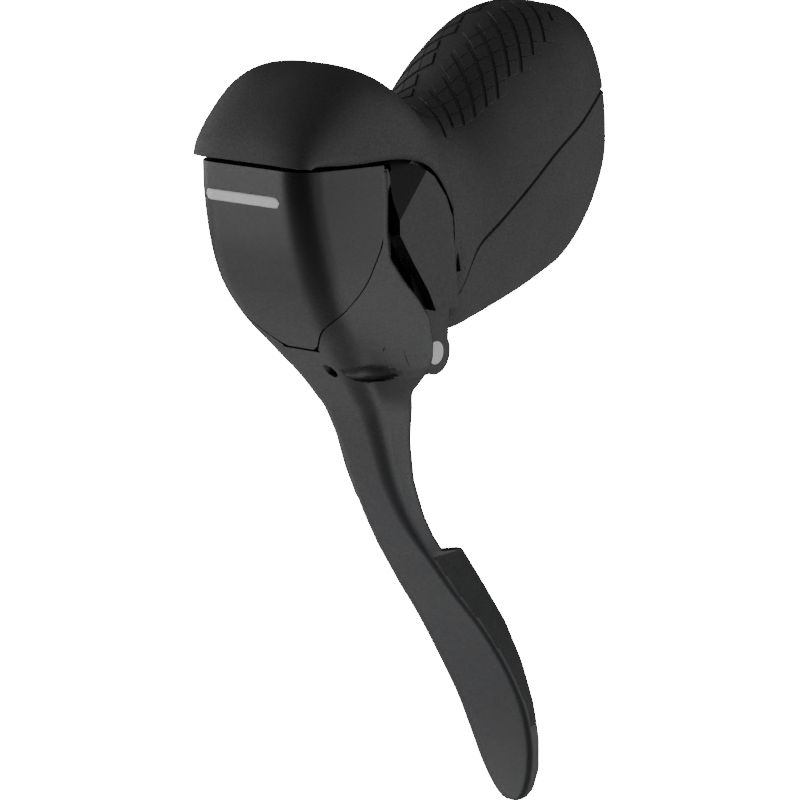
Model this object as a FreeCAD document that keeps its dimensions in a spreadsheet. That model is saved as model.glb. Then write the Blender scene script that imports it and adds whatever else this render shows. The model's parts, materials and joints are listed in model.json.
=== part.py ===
"""Left-hand drop-bar brake and shift lever.

Frame, in millimetres: the origin is the centre of the bar clamp, +Z is the clamped bar's
axis, -Y is forward along the hood and +X is the rider's outer side. The brake lever turns
about an axle along X, and the shift unit in its head turns about a spindle along Y.
"""
import FreeCAD, Part
import math
import os

V = FreeCAD.Vector
doc = FreeCAD.newDocument("brake_shift_lever")

# ---------------------------------------------------------------- driving dimensions
DIMENSIONS = {
    "bar_radius": 11.9,
    "strap_width": 14.0,
    "strap_thickness": 0.9,
    "hood_thickness": 2.0,
    "hood_gap": 0.3,
    "arm_inside": 13.3,
    "arm_thickness": 3.5,
    "ear_inside": 11.5,
    "ear_thickness": 2.7,
    "ear_radius": 4.6,
    "cheek_outside": 15.8,
    "pivot_back": -47.5,
    "pivot_height": -36.5,
    "axle_radius": 2.4,
    "axle_length": 28.4,
    "hub_radius": 5.4,
    "bushing_radius": 3.6,
    "bushing_length": 6.0,
    "plate_thickness": 2.2,
    "plate_gap": 0.3,
    "shell_thickness": 4.2,
    "spindle_height": -10.0,
    "spindle_radius": 2.0,
    "running_gap": 0.05,
    "spool_radius": 7.4,
    "ratchet_radius": 7.6,
    "ratchet_teeth": 16,
    "sleeve_radius": 3.2,
    "paddle_thickness": 2.2,
    "anchor_radius": 3.4,
}

sheet = doc.addObject("Spreadsheet::Sheet", "Sizes")
for row, (alias, value) in enumerate(DIMENSIONS.items(), start=1):
    sheet.set("A%d" % row, alias)
    sheet.set("B%d" % row, str(value))
    sheet.setAlias("B%d" % row, alias)
doc.recompute()


def size(alias):
    return float(sheet.get(alias))


PIVOT = V(0, size("pivot_back"), size("pivot_height"))
SPINDLE_Z = size("spindle_height")
nodes = []


# ---------------------------------------------------------------- helpers
def bind(obj, **expressions):
    """Bind properties of an object to the sheet, such as Radius="Sizes.bar_radius"."""
    for name, expression in expressions.items():
        obj.setExpression(name, expression)


def keep(obj, label):
    """Name an object as a finished piece of the lever."""
    obj.Label = label
    nodes.append(obj)
    return obj


def turned_placement(start, axis):
    """Placement that turns a primitive's own Z to the given axis."""
    return FreeCAD.Placement(start, FreeCAD.Rotation(V(0, 0, 1), axis))


def cylinder(name, radius, length, start, axis):
    """Cylinder with its radius and length bound to sheet expressions."""
    obj = doc.addObject("Part::Cylinder", name)
    bind(obj, Radius=radius, Height=length)
    obj.Placement = turned_placement(start, axis)
    return obj


def box(name, low, high):
    obj = doc.addObject("Part::Box", name)
    obj.Length = high[0] - low[0]
    obj.Width = high[1] - low[1]
    obj.Height = high[2] - low[2]
    obj.Placement.Base = V(*low)
    return obj


def cut(name, base, tool):
    obj = doc.addObject("Part::Cut", name)
    obj.Base = base
    obj.Tool = tool
    return obj


def fuse(name, pieces):
    obj = doc.addObject("Part::MultiFuse", name)
    obj.Shapes = pieces
    return obj


def tube(label, outer, inner, length, start, axis):
    """Plain ring or sleeve: one cylinder bored by another."""
    body = cylinder(label + "_outer", outer, length, start, axis)
    bore = cylinder(label + "_bore", inner, length, start, axis)
    return keep(cut(label, body, bore), label)


def feature(label, shape):
    """A free-form piece whose shape is made with Part's own functions."""
    obj = doc.addObject("Part::Feature", label)
    obj.Shape = shape
    return keep(obj, label)


def rounded_outline(corners, radius):
    """Line and arc segments of a closed polygon whose corners are rounded."""
    count = len(corners)
    ends = []
    for index in range(count):
        here = V(*corners[index], 0)
        before = (V(*corners[index - 1], 0) - here)
        after = (V(*corners[(index + 1) % count], 0) - here)
        half = before.getAngle(after) / 2
        reach = min(radius / math.tan(half), 0.45 * before.Length, 0.45 * after.Length)
        before.normalize()
        after.normalize()
        inner = reach * math.tan(half)
        bisector = (before + after)
        bisector.normalize()
        middle = here + bisector * (inner / math.sin(half) - inner)
        ends.append((here + before * reach, middle, here + after * reach))
    segments = []
    for index in range(count):
        start, middle, finish = ends[index]
        following = ends[(index + 1) % count][0]
        segments.append(Part.Arc(start, middle, finish))
        segments.append(Part.LineSegment(finish, following))
    return segments


def origin_plane(body, role):
    for item in body.Origin.OriginFeatures:
        if item.Role == role:
            return item
    raise ValueError("no plane " + role)


def sketch_on(body, name, role, offset, segments, circles=()):
    """Sketch on an origin plane, moved along the plane's normal by an offset."""
    sketch = body.newObject("Sketcher::SketchObject", name)
    sketch.AttachmentSupport = [(origin_plane(body, role), "")]
    sketch.MapMode = "FlatFace"
    sketch.AttachmentOffset = FreeCAD.Placement(V(0, 0, offset), FreeCAD.Rotation())
    sketch.addGeometry(segments, False)
    for centre_x, centre_y, radius in circles:
        circle = Part.Circle(V(centre_x, centre_y, 0), V(0, 0, 1), radius)
        sketch.addGeometry(circle, False)
    return sketch


def plate_body(label, role, offset, corners, radius, thickness, circles=()):
    """Flat plate padded from a rounded outline, with round holes through it."""
    body = doc.addObject("PartDesign::Body", label)
    segments = rounded_outline(corners, radius)
    sketch = sketch_on(body, label + "_sketch", role, offset, segments, circles)
    pad = body.newObject("PartDesign::Pad", label + "_pad")
    pad.Profile = sketch
    pad.setExpression("Length", thickness)
    return body


def prism(corners, low_x, high_x):
    """Solid of a side-view outline (y, z) between two X planes."""
    points = [V(low_x, y, z) for y, z in corners]
    face = Part.Face(Part.makePolygon(points + points[:1]))
    return face.extrude(V(high_x - low_x, 0, 0))


def both_sides(solid):
    return solid.fuse(solid.mirror(V(0, 0, 0), V(1, 0, 0)))


# ---------------------------------------------------------------- hood and bracket core
# Each station is a section through the hood: crest (y, z), floor (y, z), half width, and
# how square the section is above and below its middle. The first is at the bar, and the
# last ones fan forward over the nose, down to its front rim.
HOOD_STATIONS = (
    (4.6, 29.6, 4.6, -28.4, 17.6, 2.5, 1.5),
    (-5.0, 31.0, -5.0, -31.2, 18.1, 2.4, 1.6),
    (-16.0, 29.2, -14.0, -33.0, 17.6, 2.3, 1.8),
    (-27.0, 23.0, -24.0, -34.8, 16.8, 2.3, 2.0),
    (-37.0, 14.0, -33.0, -35.6, 16.2, 2.4, 2.2),
    (-46.0, 12.8, -41.0, -31.0, 16.6, 2.5, 2.4),
    (-54.0, 18.2, -50.0, -16.0, 17.0, 2.6, 2.6),
    (-63.0, 22.9, -59.0, -4.0, 17.4, 2.7, 2.7),
    (-72.0, 24.9, -66.5, -3.0, 17.3, 2.7, 2.8),
    (-80.0, 23.3, -71.5, -3.0, 17.0, 2.6, 2.9),
    (-86.5, 17.7, -75.0, -1.0, 16.4, 2.7, 3.0),
    (-90.4, 11.8, -78.0, 2.0, 15.8, 3.0, 3.2),
    (-91.6, 7.2, -80.0, 5.0, 15.3, 3.3, 3.3),
)
SECTION_POINTS = 16


def signed_power(value, exponent):
    return math.copysign(abs(value) ** exponent, value)


def hood_section(station, inset):
    """Closed super-elliptic section between a crest point and a floor point."""
    crest_y, crest_z, floor_y, floor_z, half_width, above, below = station
    crest = V(0, crest_y, crest_z)
    floor = V(0, floor_y, floor_z)
    middle = (crest + floor) / 2
    up = (crest - floor) / 2
    height = up.Length - inset
    up.normalize()
    width = half_width - inset
    points = []
    for index in range(SECTION_POINTS):
        angle = 2 * math.pi * index / SECTION_POINTS
        squareness = above if math.cos(angle) > 0 else below
        across = width * signed_power(math.sin(angle), 2 / squareness)
        along = height * signed_power(math.cos(angle), 2 / squareness)
        points.append(middle + up * along + V(across, 0, 0))
    curve = Part.BSplineCurve()
    curve.interpolate(points, PeriodicFlag=True)
    return Part.Wire([curve.toShape()])


def hood_loft(inset, last):
    wires = [hood_section(station, inset) for station in HOOD_STATIONS[:last]]
    return Part.makeLoft(wires, True, False)


BRAKE_INLET_X = 7.5
GEAR_INLET_X = -7.5
INLET_Z = -17.5
# Side view (y, z) of the space under the hood's rim, where the lever head and arms are.
RIM_CUT = (
    (-100.0, 6.6), (-83.0, 6.2), (-62.0, 5.3), (-55.0, 4.2), (-50.5, 1.5), (-46.5, -3.5),
    (-44.6, -8.0), (-43.6, -18.0), (-42.5, -28.0), (-40.5, -32.0), (-38.0, -45.0),
    (-100.0, -45.0),
)
# Side view of the room that the lever head and its hub need inside the bracket.
HEAD_BAY = (
    (-100.0, 7.6), (-58.0, 7.6), (-48.0, 6.0), (-41.0, 0.0), (-40.4, -20.0),
    (-39.6, -45.0), (-100.0, -45.0),
)
# Side view of one arm, from the hood's rim down to the ear that holds the axle.
ARM = (
    (-61.3, 4.0), (-62.2, -3.0), (-62.0, -9.8), (-57.9, -15.9), (-53.0, -22.5), (-50.6, -27.0),
    (-43.2, -27.0), (-44.4, -17.0), (-45.4, -8.2), (-47.4, -3.8), (-51.2, 0.8), (-55.6, 3.6),
)
EAR = (
    (-55.6, -19.0), (-53.0, -28.0), (-51.9, -35.0), (-43.6, -34.4), (-43.2, -28.0),
    (-44.3, -18.0), (-45.2, -12.0), (-54.0, -12.0),
)
# Root of an arm, where it runs up inside the hood into the bracket's core.
ARM_ROOT = ((-60.6, 1.4), (-60.6, 14.0), (-36.0, 14.0), (-36.0, -27.5), (-44.6, -27.5),
            (-45.6, -17.0), (-46.8, -9.0), (-49.0, -4.6), (-52.4, -0.6), (-56.0, 1.2))


def make_hood():
    outer = hood_loft(0, len(HOOD_STATIONS))
    inner = hood_loft(size("hood_thickness"), len(HOOD_STATIONS) - 1)
    shell = outer.cut(inner)
    shell = shell.cut(prism(RIM_CUT, -25, 25))
    bar = Part.makeCylinder(size("bar_radius") + 0.9, 80, V(0, 0, -40))
    return feature("hood", shell.cut(bar))


def strap_room(gap):
    """Room for the clamp strap's legs and its anchor plate inside the bracket."""
    radius = size("bar_radius")
    half = size("strap_width") / 2 + gap
    outer = radius + size("strap_thickness") + gap
    legs = Part.makeBox(2 * outer, 18 + gap, 2 * half, V(-outer, -18 - gap, -half))
    core = Part.makeBox(2 * (radius - gap), 40, 2 * half + 2, V(gap - radius, -30, -half - 1))
    return legs.cut(core)


def make_bracket():
    inset = size("hood_thickness") + size("hood_gap")
    core = hood_loft(inset, len(HOOD_STATIONS) - 1)
    root = prism(ARM_ROOT, 11.7, 26)
    core = core.cut(prism(HEAD_BAY, -25, 25).cut(both_sides(root)))
    inside = size("arm_inside")
    arm = prism(ARM, inside, inside + size("arm_thickness"))
    ear_inside = size("ear_inside")
    ear_thickness = size("ear_thickness")
    ear = prism(EAR, ear_inside, ear_inside + ear_thickness)
    tip = Part.makeCylinder(size("ear_radius"), ear_thickness, PIVOT + V(ear_inside, 0, 0), V(1, 0, 0))
    body = core.fuse([both_sides(solid) for solid in (arm, ear, tip)])
    # the saddle touches the bar over the strap's width and stands clear above and below
    height = 60
    half = size("strap_width") / 2
    bar = Part.makeCylinder(size("bar_radius"), 2 * height, V(0, 0, -height))
    relief = Part.makeCylinder(size("bar_radius") + 0.8, height, V(0, 0, half))
    lower = Part.makeCylinder(size("bar_radius") + 0.8, height, V(0, 0, -half - height))
    back = Part.makeBox(60, 30, 120, V(-30, -3.0, -60))
    body = body.cut([bar, relief, lower, back])
    body = body.cut(strap_room(0.25))
    # pocket for the strap's anchor plate and the bolt's access tunnel
    body = body.cut(Part.makeBox(25.2, 4.4, 14.5, V(-12.6, -19.4, -7.25)))
    body = body.cut(Part.makeCylinder(3.1, 30, V(0, -12, 0), V(0, -1, 0)))
    body = body.cut(Part.makeCylinder(5.2, 40, V(0, -26, 0), V(0, -1, 0)))
    # bores for the axle, in both ears
    body = body.cut(Part.makeCylinder(size("axle_radius"), 60, PIVOT + V(-30, 0, 0), V(1, 0, 0)))
    # channels for the two housings' ferrules, and their cables' way into the head bay
    for x, housing in ((BRAKE_INLET_X, 3.05), (GEAR_INLET_X, 2.55)):
        body = body.cut(Part.makeCylinder(housing, 26, V(x, -4.0, INLET_Z), V(0, -1, 0)))
        body = body.cut(Part.makeCylinder(1.3, 40, V(x, -8.0, INLET_Z), V(0, -1, 0)))
    return feature("bracket_body", body)


make_hood()
make_bracket()


# ---------------------------------------------------------------- clamp
def make_clamp():
    radius = size("bar_radius")
    outer = radius + size("strap_thickness")
    width = size("strap_width")
    ring = Part.makeCylinder(outer, width, V(0, 0, -width / 2))
    legs = Part.makeBox(2 * outer, 17, width, V(-outer, -17, -width / 2))
    strap = ring.fuse(legs)
    inner = Part.makeBox(2 * radius, 40, width + 2, V(-radius, -40, -width / 2 - 1))
    strap = strap.cut([inner, Part.makeCylinder(radius, width + 2, V(0, 0, -width / 2 - 1))])
    feature("clamp_band", strap)
    # anchor plate that joins the strap's legs and takes the bolt's thread
    plate = box("anchor_blank", (-radius, -18.6, -6.4), (radius, -15.4, 6.4))
    hole = cylinder("anchor_hole", "3", "8", V(0, -12, 0), V(0, -1, 0))
    keep(cut("clamp_anchor_plate", plate, hole), "clamp_anchor_plate")
    # socket-head bolt: its head bears on the bracket's shoulder
    shank = cylinder("bolt_shank", "3", "13", V(0, -13.2, 0), V(0, -1, 0))
    head = cylinder("bolt_head", "4.9", "6", V(0, -26.2, 0), V(0, -1, 0))
    socket = doc.addObject("Part::Prism", "bolt_socket")
    socket.Polygon = 6
    socket.Circumradius = 2.9
    socket.Height = 4
    socket.Placement = turned_placement(V(0, -28.8, 0), V(0, -1, 0))
    bolt = fuse("bolt_solid", [shank, head])
    keep(cut("clamp_bolt", bolt, socket), "clamp_bolt")


make_clamp()


# ---------------------------------------------------------------- brake lever
# Level sections of the head, neck and blade: height, middle x, front y, back y,
# half width and corner radius. The first seven are the head.
LEVER_STATIONS = (
    (6.2, 0.0, -89.6, -61.5, 15.9, 5.6),
    (-1.0, 0.0, -89.0, -61.0, 16.1, 5.6),
    (-9.0, 0.0, -87.4, -59.0, 15.9, 5.6),
    (-19.6, 0.0, -83.6, -54.0, 15.0, 5.4),
    (-27.6, 0.0, -78.2, -50.0, 13.2, 5.2),
    (-34.0, 0.0, -72.6, -47.6, 11.2, 4.9),
    (-39.0, 0.0, -68.0, -46.4, 9.6, 4.5),
    (-43.5, 0.0, -64.0, -45.8, 8.5, 4.1),
    (-49.0, 0.0, -59.6, -45.4, 7.5, 3.7),
    (-56.0, 0.0, -56.2, -45.6, 6.8, 3.3),
    (-65.0, 0.0, -52.4, -43.8, 6.4, 2.9),
    (-73.0, 0.6, -48.5, -41.0, 6.5, 2.6),
    (-81.0, 1.8, -43.8, -37.6, 7.1, 2.4),
    (-90.0, 3.8, -38.2, -33.2, 8.0, 2.1),
    (-98.0, 5.8, -33.0, -28.2, 9.0, 1.9),
    (-107.0, 8.0, -28.4, -24.0, 9.6, 1.8),
    (-116.0, 10.0, -24.8, -20.8, 9.4, 1.7),
    (-124.0, 11.5, -23.0, -19.2, 8.6, 1.6),
    (-131.0, 12.6, -22.2, -18.6, 7.0, 1.5),
    (-135.6, 13.4, -22.0, -18.8, 4.8, 1.4),
    (-138.4, 13.9, -22.0, -19.2, 2.2, 1.2),
)
HEAD_COUNT = 7
# Side view of what stands above the nameplate's top edge, which clears the hood's rim.
UNDER_RIM = ((-100.0, 6.1), (-83.0, 5.7), (-62.0, 4.8), (-62.0, 20.0), (-100.0, 20.0))
# Side view of the parting line between the nameplate (in front) and the lever head.
PARTING = ((-66.6, 10.0), (-64.6, 3.0), (-64.2, -6.0), (-66.0, -12.0), (-70.0, -18.0),
           (-74.2, -24.0), (-76.0, -29.0), (-74.6, -35.4))


def level_section(station, inset):
    """Level rounded rectangle, starting at the middle of its front side."""
    height, middle, front, back, half_width, corner = station
    front += inset
    back -= inset
    half_width -= inset
    radius = max(corner - inset, 0.35 * min(half_width, (back - front) / 2))
    left = middle - half_width
    right = middle + half_width
    bend = radius * (1 - math.sqrt(0.5))
    corners = (
        ((left + radius, front), (left + bend, front + bend), (left, front + radius)),
        ((left, back - radius), (left + bend, back - bend), (left + radius, back)),
        ((right - radius, back), (right - bend, back - bend), (right, back - radius)),
        ((right, front + radius), (right - bend, front + bend), (right - radius, front)),
    )
    edges = []
    for index, corner_points in enumerate(corners):
        start, through, finish = [V(x, y, height) for x, y in corner_points]
        following = V(*corners[(index + 1) % 4][0], height)
        edges.append(Part.Arc(start, through, finish).toShape())
        edges.append(Part.LineSegment(finish, following).toShape())
    return Part.Wire(edges)


def lever_loft(inset, first, last):
    wires = [level_section(station, inset) for station in LEVER_STATIONS[first:last]]
    return Part.makeLoft(wires, True, False)


def front_of_parting(gap):
    """Everything in front of the parting line, moved back by a gap."""
    outline = [(y + gap, z - gap / 2) for y, z in PARTING]
    return prism(outline + [(-110.0, -36.0 - gap), (-110.0, 10.0)], -25, 25)


def make_nameplate():
    outer = lever_loft(0, 0, HEAD_COUNT)
    inner = lever_loft(size("plate_thickness"), 0, HEAD_COUNT)
    plate = outer.cut(inner).common(front_of_parting(0))
    plate = plate.cut(prism(UNDER_RIM, -25, 25))
    holes = [Part.makeCylinder(0.9, 4, V(x, -88.4, 3.0), V(0, 1, 0)) for x in (-6.0, 6.0)]
    return feature("nameplate", plate.cut(holes))


def blade_fin():
    """Wall behind the blade's outer edge; its top ends in a step."""
    wires = []
    for height, outer_x, front, depth, width in (
        (-82.6, 9.0, -41.0, 9.5, 2.2), (-90.0, 11.6, -36.0, 8.6, 2.2),
        (-98.0, 14.2, -31.0, 7.0, 2.2), (-107.0, 16.4, -26.6, 5.0, 2.0),
        (-116.0, 17.9, -23.2, 3.0, 1.8),
    ):
        corners = ((outer_x - width, front), (outer_x - width, front + depth),
                   (outer_x, front + depth), (outer_x, front))
        points = [V(x, y, height) for x, y in corners]
        wires.append(Part.makePolygon(points + points[:1]))
    return Part.makeLoft(wires, True, False)


PAWL_PIN = 0.8
# Pawl pivots in the front view (x, z), either side of the ratchet wheel.
HOLD_PAWL = (8.4, -16.6)
PULL_PAWL = (-8.8, -13.0)
# Side view of a cheek: the head's side wall, which covers the ear from outside.
CHEEK = ((-68.0, -15.6), (-59.4, -16.8), (-53.4, -24.2), (-49.9, -29.0), (-49.3, -34.4),
         (-51.6, -39.8), (-56.0, -43.0), (-64.0, -38.0))
CHEEK_ROOT = ((-74.0, -20.0), (-60.0, -14.0), (-48.0, -24.0), (-44.5, -34.0), (-46.0, -42.0),
              (-52.0, -49.0), (-62.0, -44.0), (-71.0, -33.0))
REACH_AXIS = V(0, 0.64, 0.77)
REACH_AXIS.normalize()
REACH_MOUTH = V(4.0, -66.2, -38.0)
ANCHOR = V(0, -46.5, -16.0)
# Lengthways places (y) in the head: the bulkhead that carries the spindle's sleeve.
BULKHEAD = (-63.4, -61.3)
SLOT_INSIDE = -8.9
# Side view of the slot that the paddle arms and paddles need on the head's inner side.
SLOT = ((-61.2, -11.4), (-61.2, -46.5), (-58.6, -50.0), (-56.0, -62.0), (-36.0, -62.0),
        (-36.0, -42.4), (-48.0, -42.4), (-56.8, -37.0), (-56.8, -11.4))
# Side view of the reach stop tab's room inside the lever.
TAB_ROOM = ((-57.6, -28.0), (-54.0, -23.0), (-42.0, -23.0), (-41.0, -36.5), (-47.5, -42.6),
            (-54.0, -38.0))


def closed_wire(corners, x):
    points = [V(x, y, z) for y, z in corners]
    return Part.makePolygon(points + points[:1])


def make_lever():
    gap = size("plate_gap")
    inside = size("ear_inside") - 0.4
    axis = V(1, 0, 0)
    body = lever_loft(0, 0, len(LEVER_STATIONS))
    cheek = Part.makeLoft([closed_wire(CHEEK_ROOT, 7.0),
                           closed_wire(CHEEK, size("cheek_outside"))], True, True)
    body = body.fuse(both_sides(cheek)).cut(front_of_parting(gap))
    tray = lever_loft(size("plate_thickness") + gap, 0, HEAD_COUNT)
    body = body.fuse(tray.common(front_of_parting(gap + 0.5)))
    cavity = lever_loft(size("shell_thickness"), 0, HEAD_COUNT - 2)
    body = body.cut(cavity.cut(Part.makeBox(60, 40, 90, V(-30, BULKHEAD[0], -60))))
    body = body.cut(Part.makeBox(50, 60, 6, V(-25, -100, 4.4)))
    # open window behind the nameplate, through which the shift unit is fitted
    body = body.cut(Part.makeBox(15.6, 14.4, 21, V(-7.8, -96, -19)))
    # bay behind the bulkhead for the cable anchor and the two paddle arms
    body = body.cut(Part.makeBox(2 * inside, 30, 60, V(-inside, BULKHEAD[1], -24.0)))
    hub = Part.makeCylinder(size("hub_radius"), 2 * inside, PIVOT + V(-inside, 0, 0), axis)
    lug_outline = ((-56.0, -22.0), (-56.0, -38.0), (-47.5, -41.0), (-43.4, -36.0),
                   (-43.4, -29.0), (-44.6, -18.0), (-44.6, -12.4), (-49.4, -12.4),
                   (-51.2, -20.0))
    lugs = [prism(lug_outline, low, low + 1.4) for low in (0.9, inside - 1.4)]
    bosses = [Part.makeCylinder(1.9, 4.6, V(side * 9.6, -85.4, -4.0), V(0, 1, 0)) for side in (-1, 1)]
    body = body.fuse([hub, blade_fin()] + lugs + bosses)
    # room for the bracket's arms and ears, which stand still while the lever turns
    room = []
    for outline, low, high in ((ARM, size("arm_inside"), 30), (EAR, size("ear_inside"), 14.2)):
        middle_y = sum(y for y, z in outline) / len(outline)
        middle_z = sum(z for y, z in outline) / len(outline)
        grown = [(y + math.copysign(0.7, y - middle_y), z + math.copysign(0.7, z - middle_z))
                 for y, z in outline]
        room.append(prism(grown, low - 0.4, high + 0.4))
    ring = Part.makeCylinder(size("ear_radius") + 0.6, size("ear_thickness") + 0.8,
                             PIVOT + V(size("ear_inside") - 0.4, 0, 0), axis)
    behind = Part.makeBox(20, 20, 60, V(size("ear_inside") - 0.4, -49.5, -33.0))
    for solid in room + [ring, behind]:
        body = body.cut(both_sides(solid))
    # side slot that the paddle arms come down through, on the inner side
    body = body.cut(prism(SLOT, -30, SLOT_INSIDE))
    body = body.cut(prism(TAB_ROOM, 2.9, 5.05))
    # bores: axle, bushings, spindle sleeve, cable anchor, reach screw, release rod
    length = size("bushing_length")
    tools = [
        Part.makeCylinder(size("axle_radius") + 0.3, 80, PIVOT + V(-40, 0, 0), axis),
        Part.makeCylinder(3.3, 8, PIVOT + V(-5.1, 0, 0), axis),
        Part.makeCylinder(size("bushing_radius"), length, PIVOT + V(inside - length, 0, 0), axis),
        Part.makeCylinder(size("bushing_radius"), length, PIVOT + V(-inside, 0, 0), axis),
        Part.makeCylinder(size("sleeve_radius") + size("running_gap"), 20,
                          V(0, -70, SPINDLE_Z), V(0, 1, 0)),
        Part.makeCylinder(1.5, 24, ANCHOR, axis),
        Part.makeCylinder(4.2, 14, REACH_MOUTH - REACH_AXIS * 13, REACH_AXIS),
        Part.makeCylinder(1.7, 24, REACH_MOUTH, REACH_AXIS),
        Part.makeCylinder(2.7, 8, V(8.6, -66, -4.3), V(0, 1, 0)),
        Part.makeCylinder(PAWL_PIN, 4, V(HOLD_PAWL[0], BULKHEAD[0] - 1, HOLD_PAWL[1]), V(0, 1, 0)),
        Part.makeCylinder(0.9, 8, V(-9.6, -85.0, -4.0), V(0, 1, 0)),
        Part.makeCylinder(0.9, 8, V(9.6, -85.0, -4.0), V(0, 1, 0)),
        Part.makeCylinder(0.9, 6, V(-6.0, -88.0, 3.0), V(0, 1, 0)),
        Part.makeCylinder(0.9, 6, V(6.0, -88.0, 3.0), V(0, 1, 0)),
    ]
    return feature("brake_lever_blade", body.cut(tools))


make_nameplate()
make_lever()


# ---------------------------------------------------------------- brake pivot
def make_pivot():
    half = size("axle_length") / 2
    axis = V(1, 0, 0)
    inside = size("ear_inside") - 0.4
    axle = cylinder("axle_shank", "Sizes.axle_radius", "Sizes.axle_length",
                    PIVOT - axis * half, axis)
    keep(axle, "brake_axle")
    length = size("bushing_length")
    for label, start in (("bushing_outer", inside - length), ("bushing_inner", -inside)):
        tube(label, "Sizes.bushing_radius", "Sizes.axle_radius + Sizes.running_gap",
             "Sizes.bushing_length", PIVOT + V(start, 0, 0), axis)
    # stop tab keyed to the fixed axle, which the reach screw bears on
    tab = Part.makeCylinder(4.0, 1.6, PIVOT + V(3.2, 0, 0), axis)
    finger = prism(((-56.2, -28.0), (-54.4, -25.0), (-45.5, -33.0), (-50.5, -39.0)), 3.2, 4.8)
    bore = Part.makeCylinder(size("axle_radius"), 20, PIVOT, axis)
    feature("reach_stop_tab", tab.fuse(finger).cut(bore))
    start = REACH_MOUTH + REACH_AXIS * 1.0
    screw = cylinder("reach_thread", "1.6", "12", start, REACH_AXIS)
    socket = doc.addObject("Part::Prism", "reach_socket")
    socket.Polygon = 6
    socket.Circumradius = 1.0
    socket.Height = 2.4
    socket.Placement = turned_placement(start, REACH_AXIS)
    keep(cut("reach_adjust_screw", screw, socket), "reach_adjust_screw")
    # barrel that takes the brake cable's end, on trunnions in the lever's lugs
    barrel = Part.makeCylinder(size("anchor_radius"), 7.0, ANCHOR + V(2.5, 0, 0), axis)
    trunnion = Part.makeCylinder(1.45, inside - 1.0, ANCHOR + V(1.0, 0, 0), axis)
    barrel = barrel.fuse(trunnion)
    barrel = barrel.cut(Part.makeCylinder(1.0, 20, ANCHOR + V(6.0, -10, 0), V(0, 1, 0)))
    barrel = barrel.cut(Part.makeCylinder(2.2, 6, ANCHOR + V(6.0, -7.4, 0), V(0, 1, 0)))
    feature("brake_cable_anchor", barrel)
    # torsion return spring coiled round the hub's inner bushing land
    coils = [Part.makeTorus(2.75, 0.3, PIVOT + V(x, 0, 0), axis) for x in (-4.4, -3.6, -2.8, -2.0)]
    feature("brake_return_spring", Part.makeCompound(coils))


make_pivot()
doc.recompute()

# ---------------------------------------------------------------- shift unit
# Lengthways places (y, front and back) of the pieces on the spindle.
STACK = {
    "nut": (-83.0, -80.8), "front_plate": (-80.8, -79.2), "spacer": (-79.2, -75.0),
    "clock_spring": (-78.8, -75.6), "spool": (-74.9, -70.3), "ratchet": (-70.2, -68.6),
    "carrier": (-68.2, -66.6), "main_spring": (-66.3, -63.9), "sleeve": (-68.2, -59.2),
    "main_arm": (-60.8, -59.2), "release_arm": (-58.8, -57.2), "release_spring": (-56.9, -54.5),
    "clip": (-54.2, -53.6), "spindle": (-83.4, -53.2),
}
BACKWARD = V(0, 1, 0)


def stack_tube(label, place, outer, inner):
    front, back = STACK[place]
    return tube(label, outer, inner, str(back - front), V(0, front, SPINDLE_Z), BACKWARD)


def stack_plate(label, place, corners, radius, circles):
    """Plate in the front view (x, z) that fills one place on the spindle."""
    front, back = STACK[place]
    body = plate_body(label, "XZ_Plane", -back, corners, radius, str(back - front), circles)
    return keep(body, label)


def make_ratchet():
    """Saw-toothed wheel: each tooth is one radial flank and one slope."""
    outer = size("ratchet_radius")
    root = outer - 1.0
    count = int(size("ratchet_teeth"))
    front, back = STACK["ratchet"]
    points = []
    for tooth in range(count):
        angle = 2 * math.pi * tooth / count
        for radius in (root, outer):
            points.append(V(radius * math.sin(angle), front, SPINDLE_Z + radius * math.cos(angle)))
    wheel = Part.Face(Part.makePolygon(points + points[:1])).extrude(V(0, back - front, 0))
    bore = Part.makeCylinder(3.4, 30, V(0, -90, SPINDLE_Z), BACKWARD)
    return feature("ratchet_wheel", wheel.cut(bore))


def make_spool():
    """Winding drum turned about the spindle, with a groove for the gear cable."""
    front, back = STACK["spool"]
    outer = size("spool_radius")
    groove = outer - 1.3
    hub = 3.4
    bore = size("spindle_radius") + size("running_gap")
    body = doc.addObject("PartDesign::Body", "cable_spool")
    outline = ((bore, front), (outer, front), (outer, front + 1.0), (groove, front + 1.9),
               (groove, back - 1.9), (outer, back - 1.0), (outer, back), (hub, back),
               (hub, back + 1.6), (bore, back + 1.6))
    points = [V(x, y, 0) for x, y in outline]
    segments = [Part.LineSegment(start, finish)
                for start, finish in zip(points, points[1:] + points[:1])]
    sketch = sketch_on(body, "spool_profile", "XY_Plane", 0, segments)
    turn = body.newObject("PartDesign::Revolution", "spool_turn")
    turn.Profile = sketch
    turn.ReferenceAxis = (sketch, ["V_Axis"])
    turn.Angle = 360
    body.Placement.Base = V(0, 0, SPINDLE_Z)
    return keep(body, "cable_spool")


def paddle(label, place, bore_radius, lobe, outline, rod=()):
    """Arm in the front view joined to a finger plate in the side view, bored for its rod."""
    front, back = STACK[place]
    thickness = back - front
    face = -SLOT_INSIDE + 0.5
    hub = Part.makeCylinder(4.6, thickness, V(0, front, SPINDLE_Z), BACKWARD)
    corners = [V(x, front, z) for x, z in lobe]
    arm = Part.Face(Part.makePolygon(corners + corners[:1])).extrude(V(0, thickness, 0))
    plate = prism(outline, -face - size("paddle_thickness"), -face)
    bores = [Part.makeCylinder(bore_radius, 40, V(0, -80, SPINDLE_Z), BACKWARD)]
    bores += [Part.makeCylinder(ROD_RADIUS, 40, V(x, -80, z), BACKWARD) for x, z in rod]
    return feature(label, hub.fuse([arm, plate]).cut(bores).removeSplitter())


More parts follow.
